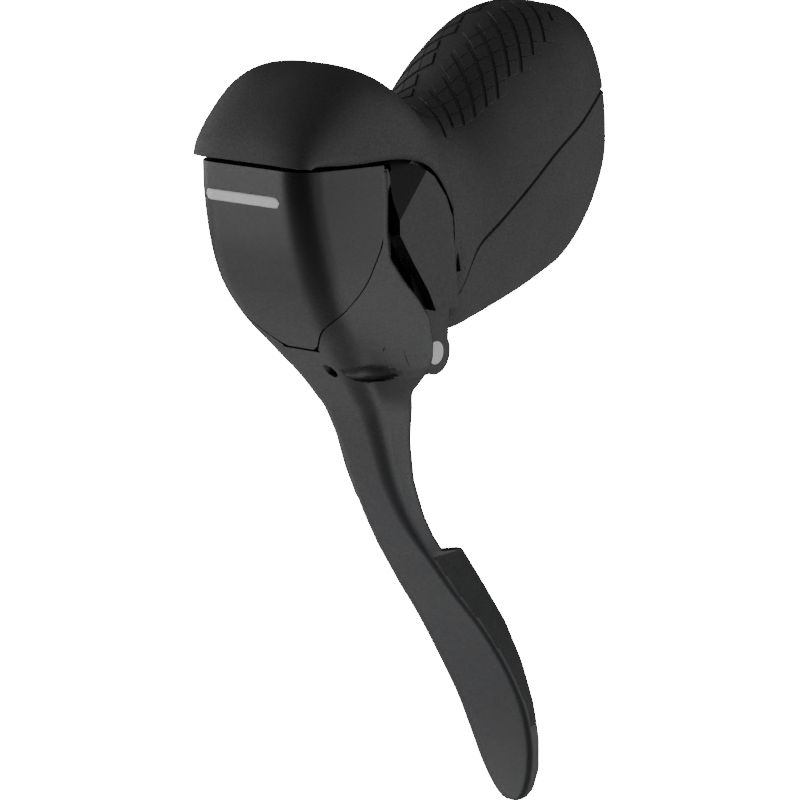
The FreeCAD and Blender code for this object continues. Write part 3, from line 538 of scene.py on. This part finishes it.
def make_tiles():
    """The low relief of ramps on both sides of the grip."""
    points, faces = [], []
    lines, columns = len(TILE_DOWN), len(TILE_ACROSS)
    count = lines * columns
    for row in TILE_ROWS:
        for column in TILE_COLUMNS:
            row_sum = row * ROW_PITCH + ROW_START
            column_sum = column * COLUMN_PITCH
            arc = (row_sum - ROW_SLOPE * column_sum) / (1 + ROW_SLOPE * COLUMN_SLOPE)
            along = column_sum + COLUMN_SLOPE * arc
            room = tile_room(along, arc)
            if room < 0:
                continue
            tops, feet = tile_block(along, arc, min(1.0, EDGE_SHARE + room / EDGE_RUN))
            for side in (1, -1):
                start = len(points)
                points += [(p[0] * side, p[1], p[2]) for p in tops + feet]
                faces += grid_faces(lines, columns, start=start)
                faces += [face[::-1] for face in grid_faces(lines, columns, start=start + count)]
                for a, b in zip(TILE_BORDER, TILE_BORDER[1:] + TILE_BORDER[:1]):
                    faces.append((start + a, start + a + count, start + b + count, start + b))
    tiles = mesh_object("hood_grip_relief", points, faces, "hood_rubber", "bracket")
    fix_normals(tiles)
    shade_by_angle(tiles, 35)
    soft_edges(tiles, 0.12, 50, 2)


# ---------------------------------------------------------------- lever and nameplate
# Levels of the lever: height, middle, front, half width and corner radius in front, then rear
# and half width there on the outer and on the inner side, the pocket's floor and the wall.
LEVER_LEVELS = (
    (4.3, 0.0, -89.5, 15.1, 6.4, -63.6, 15.9, -63.6, 15.9, -83.6, 2.3),
    (-1.0, 0.0, -89.0, 15.3, 6.4, -63.4, 16.0, -63.4, 16.0, -83.6, 2.3),
    (-9.0, 0.0, -87.4, 15.6, 6.4, -63.4, 16.0, -63.4, 16.0, -83.6, 2.3),
    (-14.5, 0.0, -85.7, 15.7, 6.3, -62.6, 16.0, -62.6, 16.0, -82.6, 2.3),
    (-19.6, 0.0, -83.6, 15.5, 6.2, -58.2, 15.9, -61.6, 15.9, -80.6, 2.3),
    (-24.0, 0.0, -80.9, 14.9, 6.0, -54.2, 15.8, -61.6, 15.6, -77.8, 1.3),
    (-28.5, 0.0, -77.6, 13.8, 5.8, -50.6, 15.7, -61.6, 14.8, -74.6, 1.1),
    (-34.0, 0.0, -72.6, 11.8, 5.4, -49.3, 15.5, -61.6, 13.6, -69.0, 1.0),
    (-36.9, 0.0, -70.0, 10.7, 5.1, -49.2, 15.3, -61.6, 12.8, -65.4, 1.0),
    (-38.6, 0.0, -68.4, 10.0, 4.9, -49.3, 14.9, -61.6, 12.2, -63.0, 1.0),
    (-38.9, 0.0, -68.1, 9.9, 4.9, -49.3, 14.8, -46.2, 8.8, -58.0, 1.0),
    (-41.0, 0.0, -66.2, 9.2, 4.6, -49.6, 13.6, -46.1, 8.7, -54.0, 1.0),
    (-42.8, 0.0, -64.6, 8.7, 4.3, -49.6, 12.2, -45.9, 8.5, -50.2, 1.2),
    (-44.6, 0.0, -63.1, 8.3, 4.1, -48.9, 10.6, -45.7, 8.2, -49.0, 2.4),
    (-46.6, 0.0, -61.5, 7.9, 3.9, -47.0, 8.9, -45.6, 7.8, -47.1, 3.0),
    (-49.0, 0.0, -59.6, 7.5, 3.7, -45.4, 7.9, -45.4, 7.5, -45.5, 3.4),
    (-56.0, 0.0, -56.2, 6.8, 3.3, -45.6, 7.4, -45.6, 6.8, -45.7, 3.1),
    (-65.0, 0.0, -52.4, 6.4, 2.9, -43.8, 6.8, -43.8, 6.4, -43.9, 2.8),
    (-73.0, 0.6, -48.5, 6.5, 2.4, -41.0, 6.5, -41.0, 6.5, -41.1, 2.6),
    (-78.0, 1.3, -45.6, 6.9, 1.9, -39.0, 6.8, -38.9, 6.9, -39.0, 2.4),
    (-80.8, 1.8, -43.9, 7.2, 1.6, -37.8, 7.5, -37.6, 7.1, -37.8, 2.2),
    (-81.6, 1.9, -43.3, 7.3, 1.5, -32.0, 7.3, -37.3, 7.2, -37.4, 2.2),
    (-90.0, 3.8, -38.2, 8.0, 1.2, -27.6, 7.9, -33.2, 7.9, -33.3, 2.2),
    (-98.0, 5.8, -33.0, 9.0, 1.2, -24.2, 8.8, -28.2, 8.9, -28.3, 2.2),
    (-107.0, 8.0, -28.4, 9.6, 1.2, -21.8, 9.3, -24.0, 9.5, -24.1, 2.0),
    (-116.0, 10.0, -24.8, 9.4, 1.3, -20.2, 9.2, -20.8, 9.3, -20.9, 1.8),
    (-124.0, 11.5, -23.0, 8.6, 1.4, -19.2, 8.5, -19.2, 8.6, -19.3, 1.6),
    (-131.0, 12.6, -22.2, 7.0, 1.4, -18.6, 7.0, -18.6, 7.0, -18.7, 1.5),
    (-135.6, 13.4, -22.0, 4.9, 1.3, -18.8, 4.9, -18.8, 4.9, -18.9, 1.3),
    (-137.8, 13.8, -22.0, 2.9, 1.0, -19.1, 2.9, -19.1, 2.9, -19.2, 0.9),
    (-138.5, 13.9, -21.8, 1.4, 0.6, -19.3, 1.4, -19.3, 1.4, -19.4, 0.6),
)
# Columns up to here are smooth curves; the rest run straight from level to level.
SMOOTH_COLUMNS = 5
# Edge of the nameplate: how far it reaches round the head from the middle, by height.
PLATE_EDGE = (
    (6.0, 37.4), (0.6, 37.2), (-3.4, 36.8), (-6.3, 35.7), (-11.3, 33.2), (-14.5, 30.4), (-18.0, 26.8),
    (-20.7, 22.7), (-22.7, 18.7), (-25.5, 13.6), (-27.3, 10.8), (-28.9, 8.9), (-31.3, 6.6), (-33.6, 4.8),
    (-38.0, 7.0), (-43.0, 9.6), (-60.0, 8.5), (-90.0, 9.0), (-120.0, 9.0), (-138.5, 1.6),
)
PLATE_FOOT = -33.6
PLATE_RECESS = 2.4
PLATE_THICKNESS = 2.0
PLATE_GAP = 0.32
PLATE_HEIGHTS = [5.95, 5.5, 4.9] + [4.2 - 1.1 * k for k in range(33)] + [-32.2, -32.6, -32.9, -33.1, -33.25]
PLATE_STEPS = 44
# Rounding of the plate's foot: the height where it starts, its run and its depth.
FOOT_START, FOOT_RUN, FOOT_DEPTH = -32.2, 1.05, 1.1
# Recesses in the lever's front: how far round from the middle, height, half length, half height, depth.
LENS = (12.6, -38.9, 5.4, 2.0, 1.7)
SCREW_MOUTH = (4.0, -38.3, 1.3, 1.3, 2.4)
FRONT_STEPS, SIDE_STEPS, REAR_STEPS, WALL_STEPS, FLOOR_STEPS = 26, 14, 4, 6, 12
FINE_STEPS = 24
SIDE_EASE = 1.7
# The head's top falls by a share of its distance behind the tip, growing from a height over a run.
TOP_FALL, TIP_DEPTH, FALL_START, FALL_RUN = 0.045, -92.0, -6.0, 12.0
# Least length of the head's side behind the plate's edge.
SIDE_LEFT = 0.9
# Largest radius of the rear edges, as millimetres and as a share of the wall, and the same behind
# the blade, where the side wall stands.
REAR_RADIUS, REAR_SHARE = 3.2, 0.95
FIN_RADIUS, FIN_SHARE = 0.8, 0.9
# The pocket's foot: how far inside the wall, its least share of the half width, the least thickness
# of the front before it, and the share of the pocket's depth at which its sides bend in.
FOOT_INSET, FOOT_SHARE, FRONT_THICKNESS, KNEE_SHARE = 2.0, 0.3, 2.4, 0.45
# Width of the step at the plate's edge, and the height over which the recess ends below the plate.
STEP_WIDTH, RECESS_END = 0.02, 0.06
# Step along an outline that gives its direction there.
OUTLINE_STEP = 0.3
# The side wall's face: heights of its foot and top, how far behind the front it begins, and the
# least share of its direction that points outward.
FIN_FOOT, FIN_TOP, FIN_START, FIN_FACING = -121.0, -81.4, 1.3, 0.75
# How far in front of the head's rear edge the nameplate's outline ends.
PLATE_END = 1.0
# Heights at which the lever is cut: runs (start, step down, count) and single ones.
HEIGHT_RUNS = ((4.3, 0.95, 39), (-36.2, 0.3, 22), (-43.2, 1.0, 38), (-82.4, 1.2, 45), (-136.0, 0.4, 7))
HEIGHT_STOPS = (-33.0, -33.3, PLATE_FOOT, PLATE_FOOT - 0.12, -34.2, -35.0, -35.8, -38.9, -80.8, -81.6)


def smooth_value(table, wanted):
    """Smooth value in a table whose first column falls."""
    return curve_value([row[1] for row in table], place_of(table, 0, wanted))


def lever_level(height):
    """The lever's numbers at a height: smooth in front, straight between levels behind."""
    place = place_of(LEVER_LEVELS, 0, height)
    front = station_at(LEVER_LEVELS, place)[1:SMOOTH_COLUMNS]
    behind = [line_value(LEVER_LEVELS, height, k) for k in range(SMOOTH_COLUMNS, len(LEVER_LEVELS[0]))]
    return front + behind


def quarter(centre, radius, start, steps):
    """Points of a quarter turn round a centre, from a starting angle."""
    turns = [start + math.pi / 2 * k / steps for k in range(steps + 1)]
    return [(centre[0] + radius * math.cos(t), centre[1] + radius * math.sin(t)) for t in turns]


def side_outline(half_width, front, radius, rear_x, rear_y):
    """One half of a level's front: from the middle, round the corner and back to the rear."""
    line = [((half_width - radius) * k / FINE_STEPS, front) for k in range(FINE_STEPS)]
    line += quarter((half_width - radius, front + radius), radius, -math.pi / 2, FINE_STEPS)
    start = line[-1]
    for k in range(1, FINE_STEPS + 1):
        share = k / FINE_STEPS
        widening = 1 - (1 - share) ** SIDE_EASE
        line.append((start[0] + (rear_x - start[0]) * widening, start[1] + (rear_y - start[1]) * share))
    return line


def outline_point(outline, lengths, arc, inset):
    """Point at an arc length along a level's outline, moved inward by an inset."""
    x, y = point_along(outline, lengths, arc)
    ahead = point_along(outline, lengths, min(arc + OUTLINE_STEP, lengths[-1]))
    back = point_along(outline, lengths, max(arc - OUTLINE_STEP, 0.0))
    run = math.dist(ahead, back)
    return x - (ahead[1] - back[1]) / run * inset, y + (ahead[0] - back[0]) / run * inset


def dent(arc, height, recess):
    """Depth of an oval recess at a place on the lever's front."""
    middle, level, half_length, half_height, depth = recess
    reach = ((arc - middle) / half_length) ** 2 + ((height - level) / half_height) ** 2
    return depth * math.sqrt(1 - reach) if reach < 1 else 0.0


def under_rim(x, y, height):
    """Lowers the head's top towards the rear, where the hood's rim runs lower."""
    share = min(max((height - FALL_START) / FALL_RUN, 0.0), 1.0)
    return (x, y, height - TOP_FALL * max(y - TIP_DEPTH, 0.0) * share)


def half_level(height, side):
    """One side of a level, from the middle of the front round to the middle of the pocket."""
    middle, front, half_width, radius, outer_y, outer_x, inner_y, inner_x, floor, wall = lever_level(height)
    rear_x, rear_y = (outer_x, outer_y) if side > 0 else (inner_x, inner_y)
    round_rear = min(wall * REAR_SHARE, REAR_RADIUS)
    if height < FIN_TOP and side > 0:
        round_rear = min(wall * FIN_SHARE, FIN_RADIUS)
    outline = side_outline(half_width, front, radius, rear_x, rear_y - round_rear)
    lengths = path_lengths(outline)
    edge = min(smooth_value(PLATE_EDGE, height), lengths[-1] - SIDE_LEFT)
    inset = PLATE_RECESS if height > PLATE_FOOT - RECESS_END else 0.0
    points = []
    for k in range(FRONT_STEPS + 1):
        arc = edge * k / FRONT_STEPS
        depth = dent(arc, height, SCREW_MOUTH) + dent(arc, height, LENS) if side > 0 else 0.0
        points.append(outline_point(outline, lengths, arc, inset + depth))
    for k in range(SIDE_STEPS + 1):
        arc = edge + STEP_WIDTH + (lengths[-1] - edge - STEP_WIDTH) * k / SIDE_STEPS
        depth = dent(arc, height, LENS) if side > 0 else 0.0
        points.append(outline_point(outline, lengths, arc, depth))
    points += quarter((rear_x - round_rear, rear_y - round_rear), round_rear, 0.0, REAR_STEPS)[1:]
    wall_top = (rear_x - wall, rear_y)
    foot_x = max(half_width - wall - FOOT_INSET, FOOT_SHARE * half_width)
    wall_foot = (foot_x, max(floor, front + FRONT_THICKNESS))
    knee = (wall_top[0], wall_top[1] + KNEE_SHARE * min(wall_foot[1] - wall_top[1], 0.0))
    floor_middle = (0.0, wall_foot[1])
    for start, finish, steps in ((wall_top, knee, WALL_STEPS), (knee, wall_foot, WALL_STEPS),
                                 (wall_foot, floor_middle, FLOOR_STEPS)):
        run_x, run_y = finish[0] - start[0], finish[1] - start[1]
        points += [(start[0] + run_x * k / steps, start[1] + run_y * k / steps) for k in range(steps)]
    points.append(floor_middle)
    return [under_rim(middle + side * x, y, height) for x, y in points]


def lever_heights():
    """Heights of the lever's levels, from the top down."""
    heights = set(round(height, 3) for height in HEIGHT_STOPS)
    for start, step, count in HEIGHT_RUNS:
        heights.update(round(start - step * k, 3) for k in range(count))
    return sorted((height for height in heights if height >= LEVER_LEVELS[-1][0]), reverse=True)


def make_lever():
    """The lever: a hollow head open to the rear, a neck and a curved blade with its side wall."""
    loops = [half_level(height, 1) + half_level(height, -1)[-2:0:-1] for height in lever_heights()]
    columns = len(loops[0])
    points = [point for loop in loops for point in loop]
    faces = grid_faces(len(loops), columns, closed=True)
    faces.append(tuple(range(columns))[::-1])
    faces.append(tuple(range(len(points) - columns, len(points))))
    lever = mesh_object("brake_lever", points, faces, "blade_alloy", "brake_lever")
    weld(lever, 0.004)
    fix_normals(lever)
    lever.data.materials.append(MATERIALS["blade_wall"])
    for face in lever.data.polygons:
        x, y, z = face.center / MM
        behind = y - line_value(LEVER_LEVELS, z, 2) > FIN_START
        if FIN_FOOT < z < FIN_TOP and face.normal.x > FIN_FACING and behind:
            face.material_index = 1
    shade_by_angle(lever, 32)
    soft_edges(lever, 0.3, 42, 2)
    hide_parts("brake_lever_blade")


def head_outline(height):
    """Half of the head's outside at a height, as the nameplate follows it, and its lengths."""
    front, half_width, radius, outer_y, outer_x = lever_level(height)[1:6]
    outline = side_outline(half_width, front, radius, outer_x, outer_y - PLATE_END)
    return outline, path_lengths(outline)


def make_nameplate():
    """The cover over the head's front: a curved shield with a narrow tab at its foot."""
    points = []
    for height in PLATE_HEIGHTS:
        outline, lengths = head_outline(height)
        edge = min(smooth_value(PLATE_EDGE, height), lengths[-1] - SIDE_LEFT) - PLATE_GAP
        edge -= FOOT_DEPTH * max(0.0, (FOOT_START - height) / FOOT_RUN) ** 2
        row = []
        for k in range(PLATE_STEPS + 1):
            x, y = outline_point(outline, lengths, edge * k / PLATE_STEPS, 0.0)
            row.append(under_rim(x, y, height))
        points += [(-x, y, z) for x, y, z in row[:0:-1]] + row
    faces = grid_faces(len(PLATE_HEIGHTS), 2 * PLATE_STEPS + 1)
    plate = mesh_object("head_nameplate", points, faces, "nameplate_plastic", "brake_lever")
    face_front(plate)
    give_thickness(plate, PLATE_THICKNESS)
    soft_edges(plate, 0.4, 50, 3)
    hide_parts("nameplate")


# Plain painted bar on the nameplate: its ends on either side of the middle, its height, its half
# width, how far it stands proud of the plate, and its grid.
MARK_ENDS, MARK_HEIGHT, MARK_HALF_WIDTH = (-11.4, 8.4), -0.7, 1.1
MARK_PROUD, MARK_THICKNESS = 0.04, 0.12
# Share of its half width that the bar keeps at its very ends, so that no face shrinks to nothing.
MARK_TIP = 0.001
MARK_ROWS, MARK_COLUMNS = 5, 41


def make_mark():
    """The painted bar, with round ends."""
    low, high = MARK_ENDS
    points = []
    for i in range(MARK_ROWS):
        share = 2 * i / (MARK_ROWS - 1) - 1
        for j in range(MARK_COLUMNS):
            along = low + (high - low) * j / (MARK_COLUMNS - 1)
            end = min(along - low, high - along) / MARK_HALF_WIDTH
            swell = MARK_TIP + (1 - MARK_TIP) * math.sqrt(max(0.0, 1 - (1 - min(end, 1.0)) ** 2))
            height = MARK_HEIGHT + MARK_HALF_WIDTH * share * swell
            outline, lengths = head_outline(height)
            x, y = outline_point(outline, lengths, abs(along), -MARK_PROUD)
            points.append(under_rim(math.copysign(x, along), y, height))
    mark = mesh_object("nameplate_mark", points, grid_faces(MARK_ROWS, MARK_COLUMNS), "mark_paint",
                       "brake_lever")
    face_front(mark)
    give_thickness(mark, MARK_THICKNESS)


# ---------------------------------------------------------------- inside of the head
RING_STEPS = 72
FAR = 1e9
# Seen from the front: the spindle's centre, its hole, and the bulkhead's low and high corners.
SPINDLE, SPINDLE_HOLE = (0.0, -10.0), 4.3
BULKHEAD_LOW, BULKHEAD_HIGH, BULKHEAD_CORNER = (-14.2, -36.0), (14.0, 4.2), 12.0
BULKHEAD_FRONT, BULKHEAD_REAR = -63.3, -61.4
# Seen from the side: the axle's centre and the hub round it.
PIVOT = (-47.5, -36.5)
HUB_HOLE, HUB_RADIUS, HUB_HALF_LENGTH = 3.6, 5.4, 11.1
# Seen from the side: the cable anchor's centre and hole, and the lugs' corners.
ANCHOR, ANCHOR_HOLE = (-46.5, -16.0), 1.5
LUG_LOW, LUG_HIGH, LUG_CORNER = (-56.0, -38.0), (-44.6, -12.4), 4.0
LUG_THICKNESS = 1.4
LUGS = (("anchor_lug_inner", 0.9), ("anchor_lug_outer", 9.7))


def circle_points(radius, centre):
    """Points of a circle, matching those of square_points."""
    turns = [2 * math.pi * k / RING_STEPS for k in range(RING_STEPS)]
    return [(centre[0] + radius * math.cos(t), centre[1] + radius * math.sin(t)) for t in turns]


def square_points(low, high, centre, corner):
    """Points of a rounded rectangle seen from a centre; a larger corner number is a sharper corner."""
    points = []
    for k in range(RING_STEPS):
        turn = 2 * math.pi * k / RING_STEPS
        across, up = math.cos(turn), math.sin(turn)
        room_x = ((high[0] if across > 0 else low[0]) - centre[0]) / across if abs(across) > SMALL else FAR
        room_z = ((high[1] if up > 0 else low[1]) - centre[1]) / up if abs(up) > SMALL else FAR
        reach = (abs(room_x) ** -corner + abs(room_z) ** -corner) ** (-1 / corner)
        points.append((centre[0] + reach * across, centre[1] + reach * up))
    return points


def ring_piece(name, inner, outer, low, high):
    """A plate or tube with a hole: low and high put the outlines' points on its two end faces."""
    count = len(inner)
    points = [low(p) for p in inner] + [low(p) for p in outer]
    points += [high(p) for p in outer] + [high(p) for p in inner]
    faces = []
    for ring in range(4):
        for k in range(count):
            a, b = ring * count + k, ring * count + (k + 1) % count
            c, d = (b + count) % (4 * count), (a + count) % (4 * count)
            faces.append((a, b, c, d))
    piece = mesh_object(name, points, faces, "blade_alloy", "brake_lever")
    fix_normals(piece)
    shade_by_angle(piece, 35)
    soft_edges(piece, 0.25, 50, 2)
    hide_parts("brake_lever_blade")


def make_head_inside():
    """The bulkhead that carries the spindle, the hub on the axle and the two lugs of the cable's anchor."""
    ring_piece("head_bulkhead", circle_points(SPINDLE_HOLE, SPINDLE),
               square_points(BULKHEAD_LOW, BULKHEAD_HIGH, SPINDLE, BULKHEAD_CORNER),
               lambda p: (p[0], BULKHEAD_FRONT, p[1]), lambda p: (p[0], BULKHEAD_REAR, p[1]))
    ring_piece("pivot_hub", circle_points(HUB_HOLE, PIVOT), circle_points(HUB_RADIUS, PIVOT),
               lambda p: (-HUB_HALF_LENGTH, *p), lambda p: (HUB_HALF_LENGTH, *p))
    for name, place in LUGS:
        ring_piece(name, circle_points(ANCHOR_HOLE, ANCHOR),
                   square_points(LUG_LOW, LUG_HIGH, ANCHOR, LUG_CORNER),
                   lambda p, x=place: (x, *p), lambda p, x=place: (x + LUG_THICKNESS, *p))


# ---------------------------------------------------------------- bracket
# Upper front corner of an arm: three points of the sloping facet there.
FACET = ((16.8, -55.2, 0.7), (16.8, -62.0, -6.8), (13.5, -58.7, 4.8))
# Half width and depth of the block that cuts the facet, corners of a square, and the block's faces.
FACET_REACH, FACET_DEPTH = 12.0, 8.0
SQUARE_CORNERS = ((-1, -1), (1, -1), (1, 1), (-1, 1))
BLOCK_FACES = ((0, 1, 2, 3), (7, 6, 5, 4), (0, 4, 5, 1), (1, 5, 6, 2), (2, 6, 7, 3), (3, 7, 4, 0))


def facet_cutter(side):
    """Closed block that stands on the facet's plane, outside the arm."""
    a, b, c = [Vector((x * side, y, z)) for x, y, z in FACET]
    normal = (b - a).cross(c - a).normalized()
    if normal.x * side < 0:
        normal = -normal
    along = (b - a).normalized()
    across = normal.cross(along)
    centre = (a + b + c) / 3
    points = []
    for depth in (0.0, FACET_DEPTH):
        for i, j in SQUARE_CORNERS:
            points.append(centre + along * i * FACET_REACH + across * j * FACET_REACH + normal * depth)
    mesh = bpy.data.meshes.new("facet_cutter")
    mesh.from_pydata([point * MM for point in points], [], BLOCK_FACES)
    cutter = bpy.data.objects.new("facet_cutter", mesh)
    bpy.context.scene.collection.objects.link(cutter)
    fix_normals(cutter)
    return cutter


def make_bracket():
    """The bracket with the sloping facets at the upper front corners of its arms."""
    blank = bpy.data.objects.new("bracket_blank", frame["nodes"]["bracket_body"].data.copy())
    bpy.context.scene.collection.objects.link(blank)
    weld(blank, 0.001)
    cutters = [facet_cutter(side) for side in (1, -1)]
    for cutter in cutters:
        slice_off = blank.modifiers.new("facet", "BOOLEAN")
        slice_off.operation = "DIFFERENCE"
        slice_off.solver = "EXACT"
        slice_off.object = cutter
    bpy.context.view_layer.update()
    shaped = blank.evaluated_get(bpy.context.evaluated_depsgraph_get()).data
    points = [vertex.co / MM for vertex in shaped.vertices]
    faces = [tuple(face.vertices) for face in shaped.polygons]
    for scrap in cutters + [blank]:
        bpy.data.objects.remove(scrap)
    bracket = mesh_object("bracket_casting", points, faces, "bracket_resin", "bracket")
    shade_by_angle(bracket, 22)
    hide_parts("bracket_body")


# ---------------------------------------------------------------- stage
WORLD_STRENGTH = 0.06
# Strength of the white that the camera sees behind and below the object.
SEEN_STRENGTH = 30.0
FLOOR_REACH, FLOOR_LEVEL = 30.0, -0.60
# Softboxes: name, place, power, width and height, all turned to LIGHT_AIM.
LIGHTS = (
    ("left", (-0.80, -0.95, 0.00), 9.5, 0.8, 1.4),
    ("far_left", (-1.30, -0.20, 0.20), 6.0, 0.8, 1.2),
    ("right", (0.80, 0.95, 0.10), 5.0, 0.9, 1.4),
    ("near_right", (1.30, 0.00, 0.20), 2.0, 0.7, 1.2),
    ("top", (0.0, -0.1, 1.2), 0.8, 0.8, 0.8),
    ("low_left", (-0.40, -0.16, -0.45), 0.25, 0.5, 0.5),
    ("low_right", (0.50, 0.20, -0.40), 1.0, 0.5, 0.5),
)
LIGHT_AIM = (0, -0.05, -0.04)
# Where the photo was taken from, what it is aimed at, and the lens in millimetres.
CAMERA_PLACE, CAMERA_AIM, CAMERA_LENS = (0.5658, -0.7164, 0.1421), (0.00056, -0.0427, -0.0491), 194.4


def turn_to(place, aim):
    """Rotation that points a lamp or camera from its place to its aim."""
    return (Vector(aim) - Vector(place)).to_track_quat("-Z", "Y").to_euler()


def area_light(name, place, power, width, height):
    """A softbox that faces the object."""
    data = bpy.data.lights.new(name, "AREA")
    data.shape = "RECTANGLE"
    data.size = width
    data.size_y = height
    data.energy = power
    light = bpy.data.objects.new(name, data)
    light.location = place
    light.rotation_euler = turn_to(place, LIGHT_AIM)
    bpy.context.scene.collection.objects.link(light)


def seen_white(tree, output, shader):
    """Mixes a shader so that the camera sees plain white and the object sees the shader."""
    path = tree.nodes.new("ShaderNodeLightPath")
    white = tree.nodes.new("ShaderNodeEmission")
    white.inputs["Strength"].default_value = SEEN_STRENGTH
    mix = tree.nodes.new("ShaderNodeMixShader")
    tree.links.new(path.outputs["Is Camera Ray"], mix.inputs["Fac"])
    tree.links.new(shader.outputs[0], mix.inputs[1])
    tree.links.new(white.outputs["Emission"], mix.inputs[2])
    tree.links.new(mix.outputs["Shader"], output.inputs["Surface"])


def make_floor():
    """The pale floor, plain white to the camera."""
    mesh = bpy.data.meshes.new("floor")
    corners = [(i * FLOOR_REACH, j * FLOOR_REACH, FLOOR_LEVEL) for i, j in SQUARE_CORNERS]
    mesh.from_pydata(corners, [], [(0, 1, 2, 3)])
    material, tree, shader = new_material("floor_white")
    shader.inputs["Base Color"].default_value = (0.9, 0.9, 0.9, 1)
    shader.inputs["Roughness"].default_value = 1.0
    shader.inputs["Specular IOR Level"].default_value = 0.0
    seen_white(tree, tree.nodes["Material Output"], shader)
    mesh.materials.append(material)
    floor = bpy.data.objects.new("floor", mesh)
    bpy.context.scene.collection.objects.link(floor)


def make_light():
    """A dim white world and the softboxes."""
    world = bpy.data.worlds.new("studio")
    world.use_nodes = True
    bpy.context.scene.world = world
    tree = world.node_tree
    sky = tree.nodes["Background"]
    sky.inputs["Color"].default_value = (1, 1, 1, 1)
    sky.inputs["Strength"].default_value = WORLD_STRENGTH
    seen_white(tree, tree.nodes["World Output"], sky)
    for name, place, power, width, height in LIGHTS:
        area_light(name, place, power, width, height)


def make_camera():
    """The camera, where the photo was taken from."""
    data = bpy.data.cameras.new("camera")
    data.sensor_width = 36
    data.lens = CAMERA_LENS
    data.clip_start = 0.05
    data.clip_end = 100
    camera = bpy.data.objects.new("camera", data)
    bpy.context.scene.collection.objects.link(camera)
    camera.location = CAMERA_PLACE
    camera.rotation_euler = turn_to(CAMERA_PLACE, CAMERA_AIM)
    bpy.context.scene.camera = camera


make_camera()
make_floor()
make_light()
dress_cad_nodes()
make_hood()
make_tiles()
make_lever()
make_nameplate()
make_mark()
make_head_inside()
make_bracket()
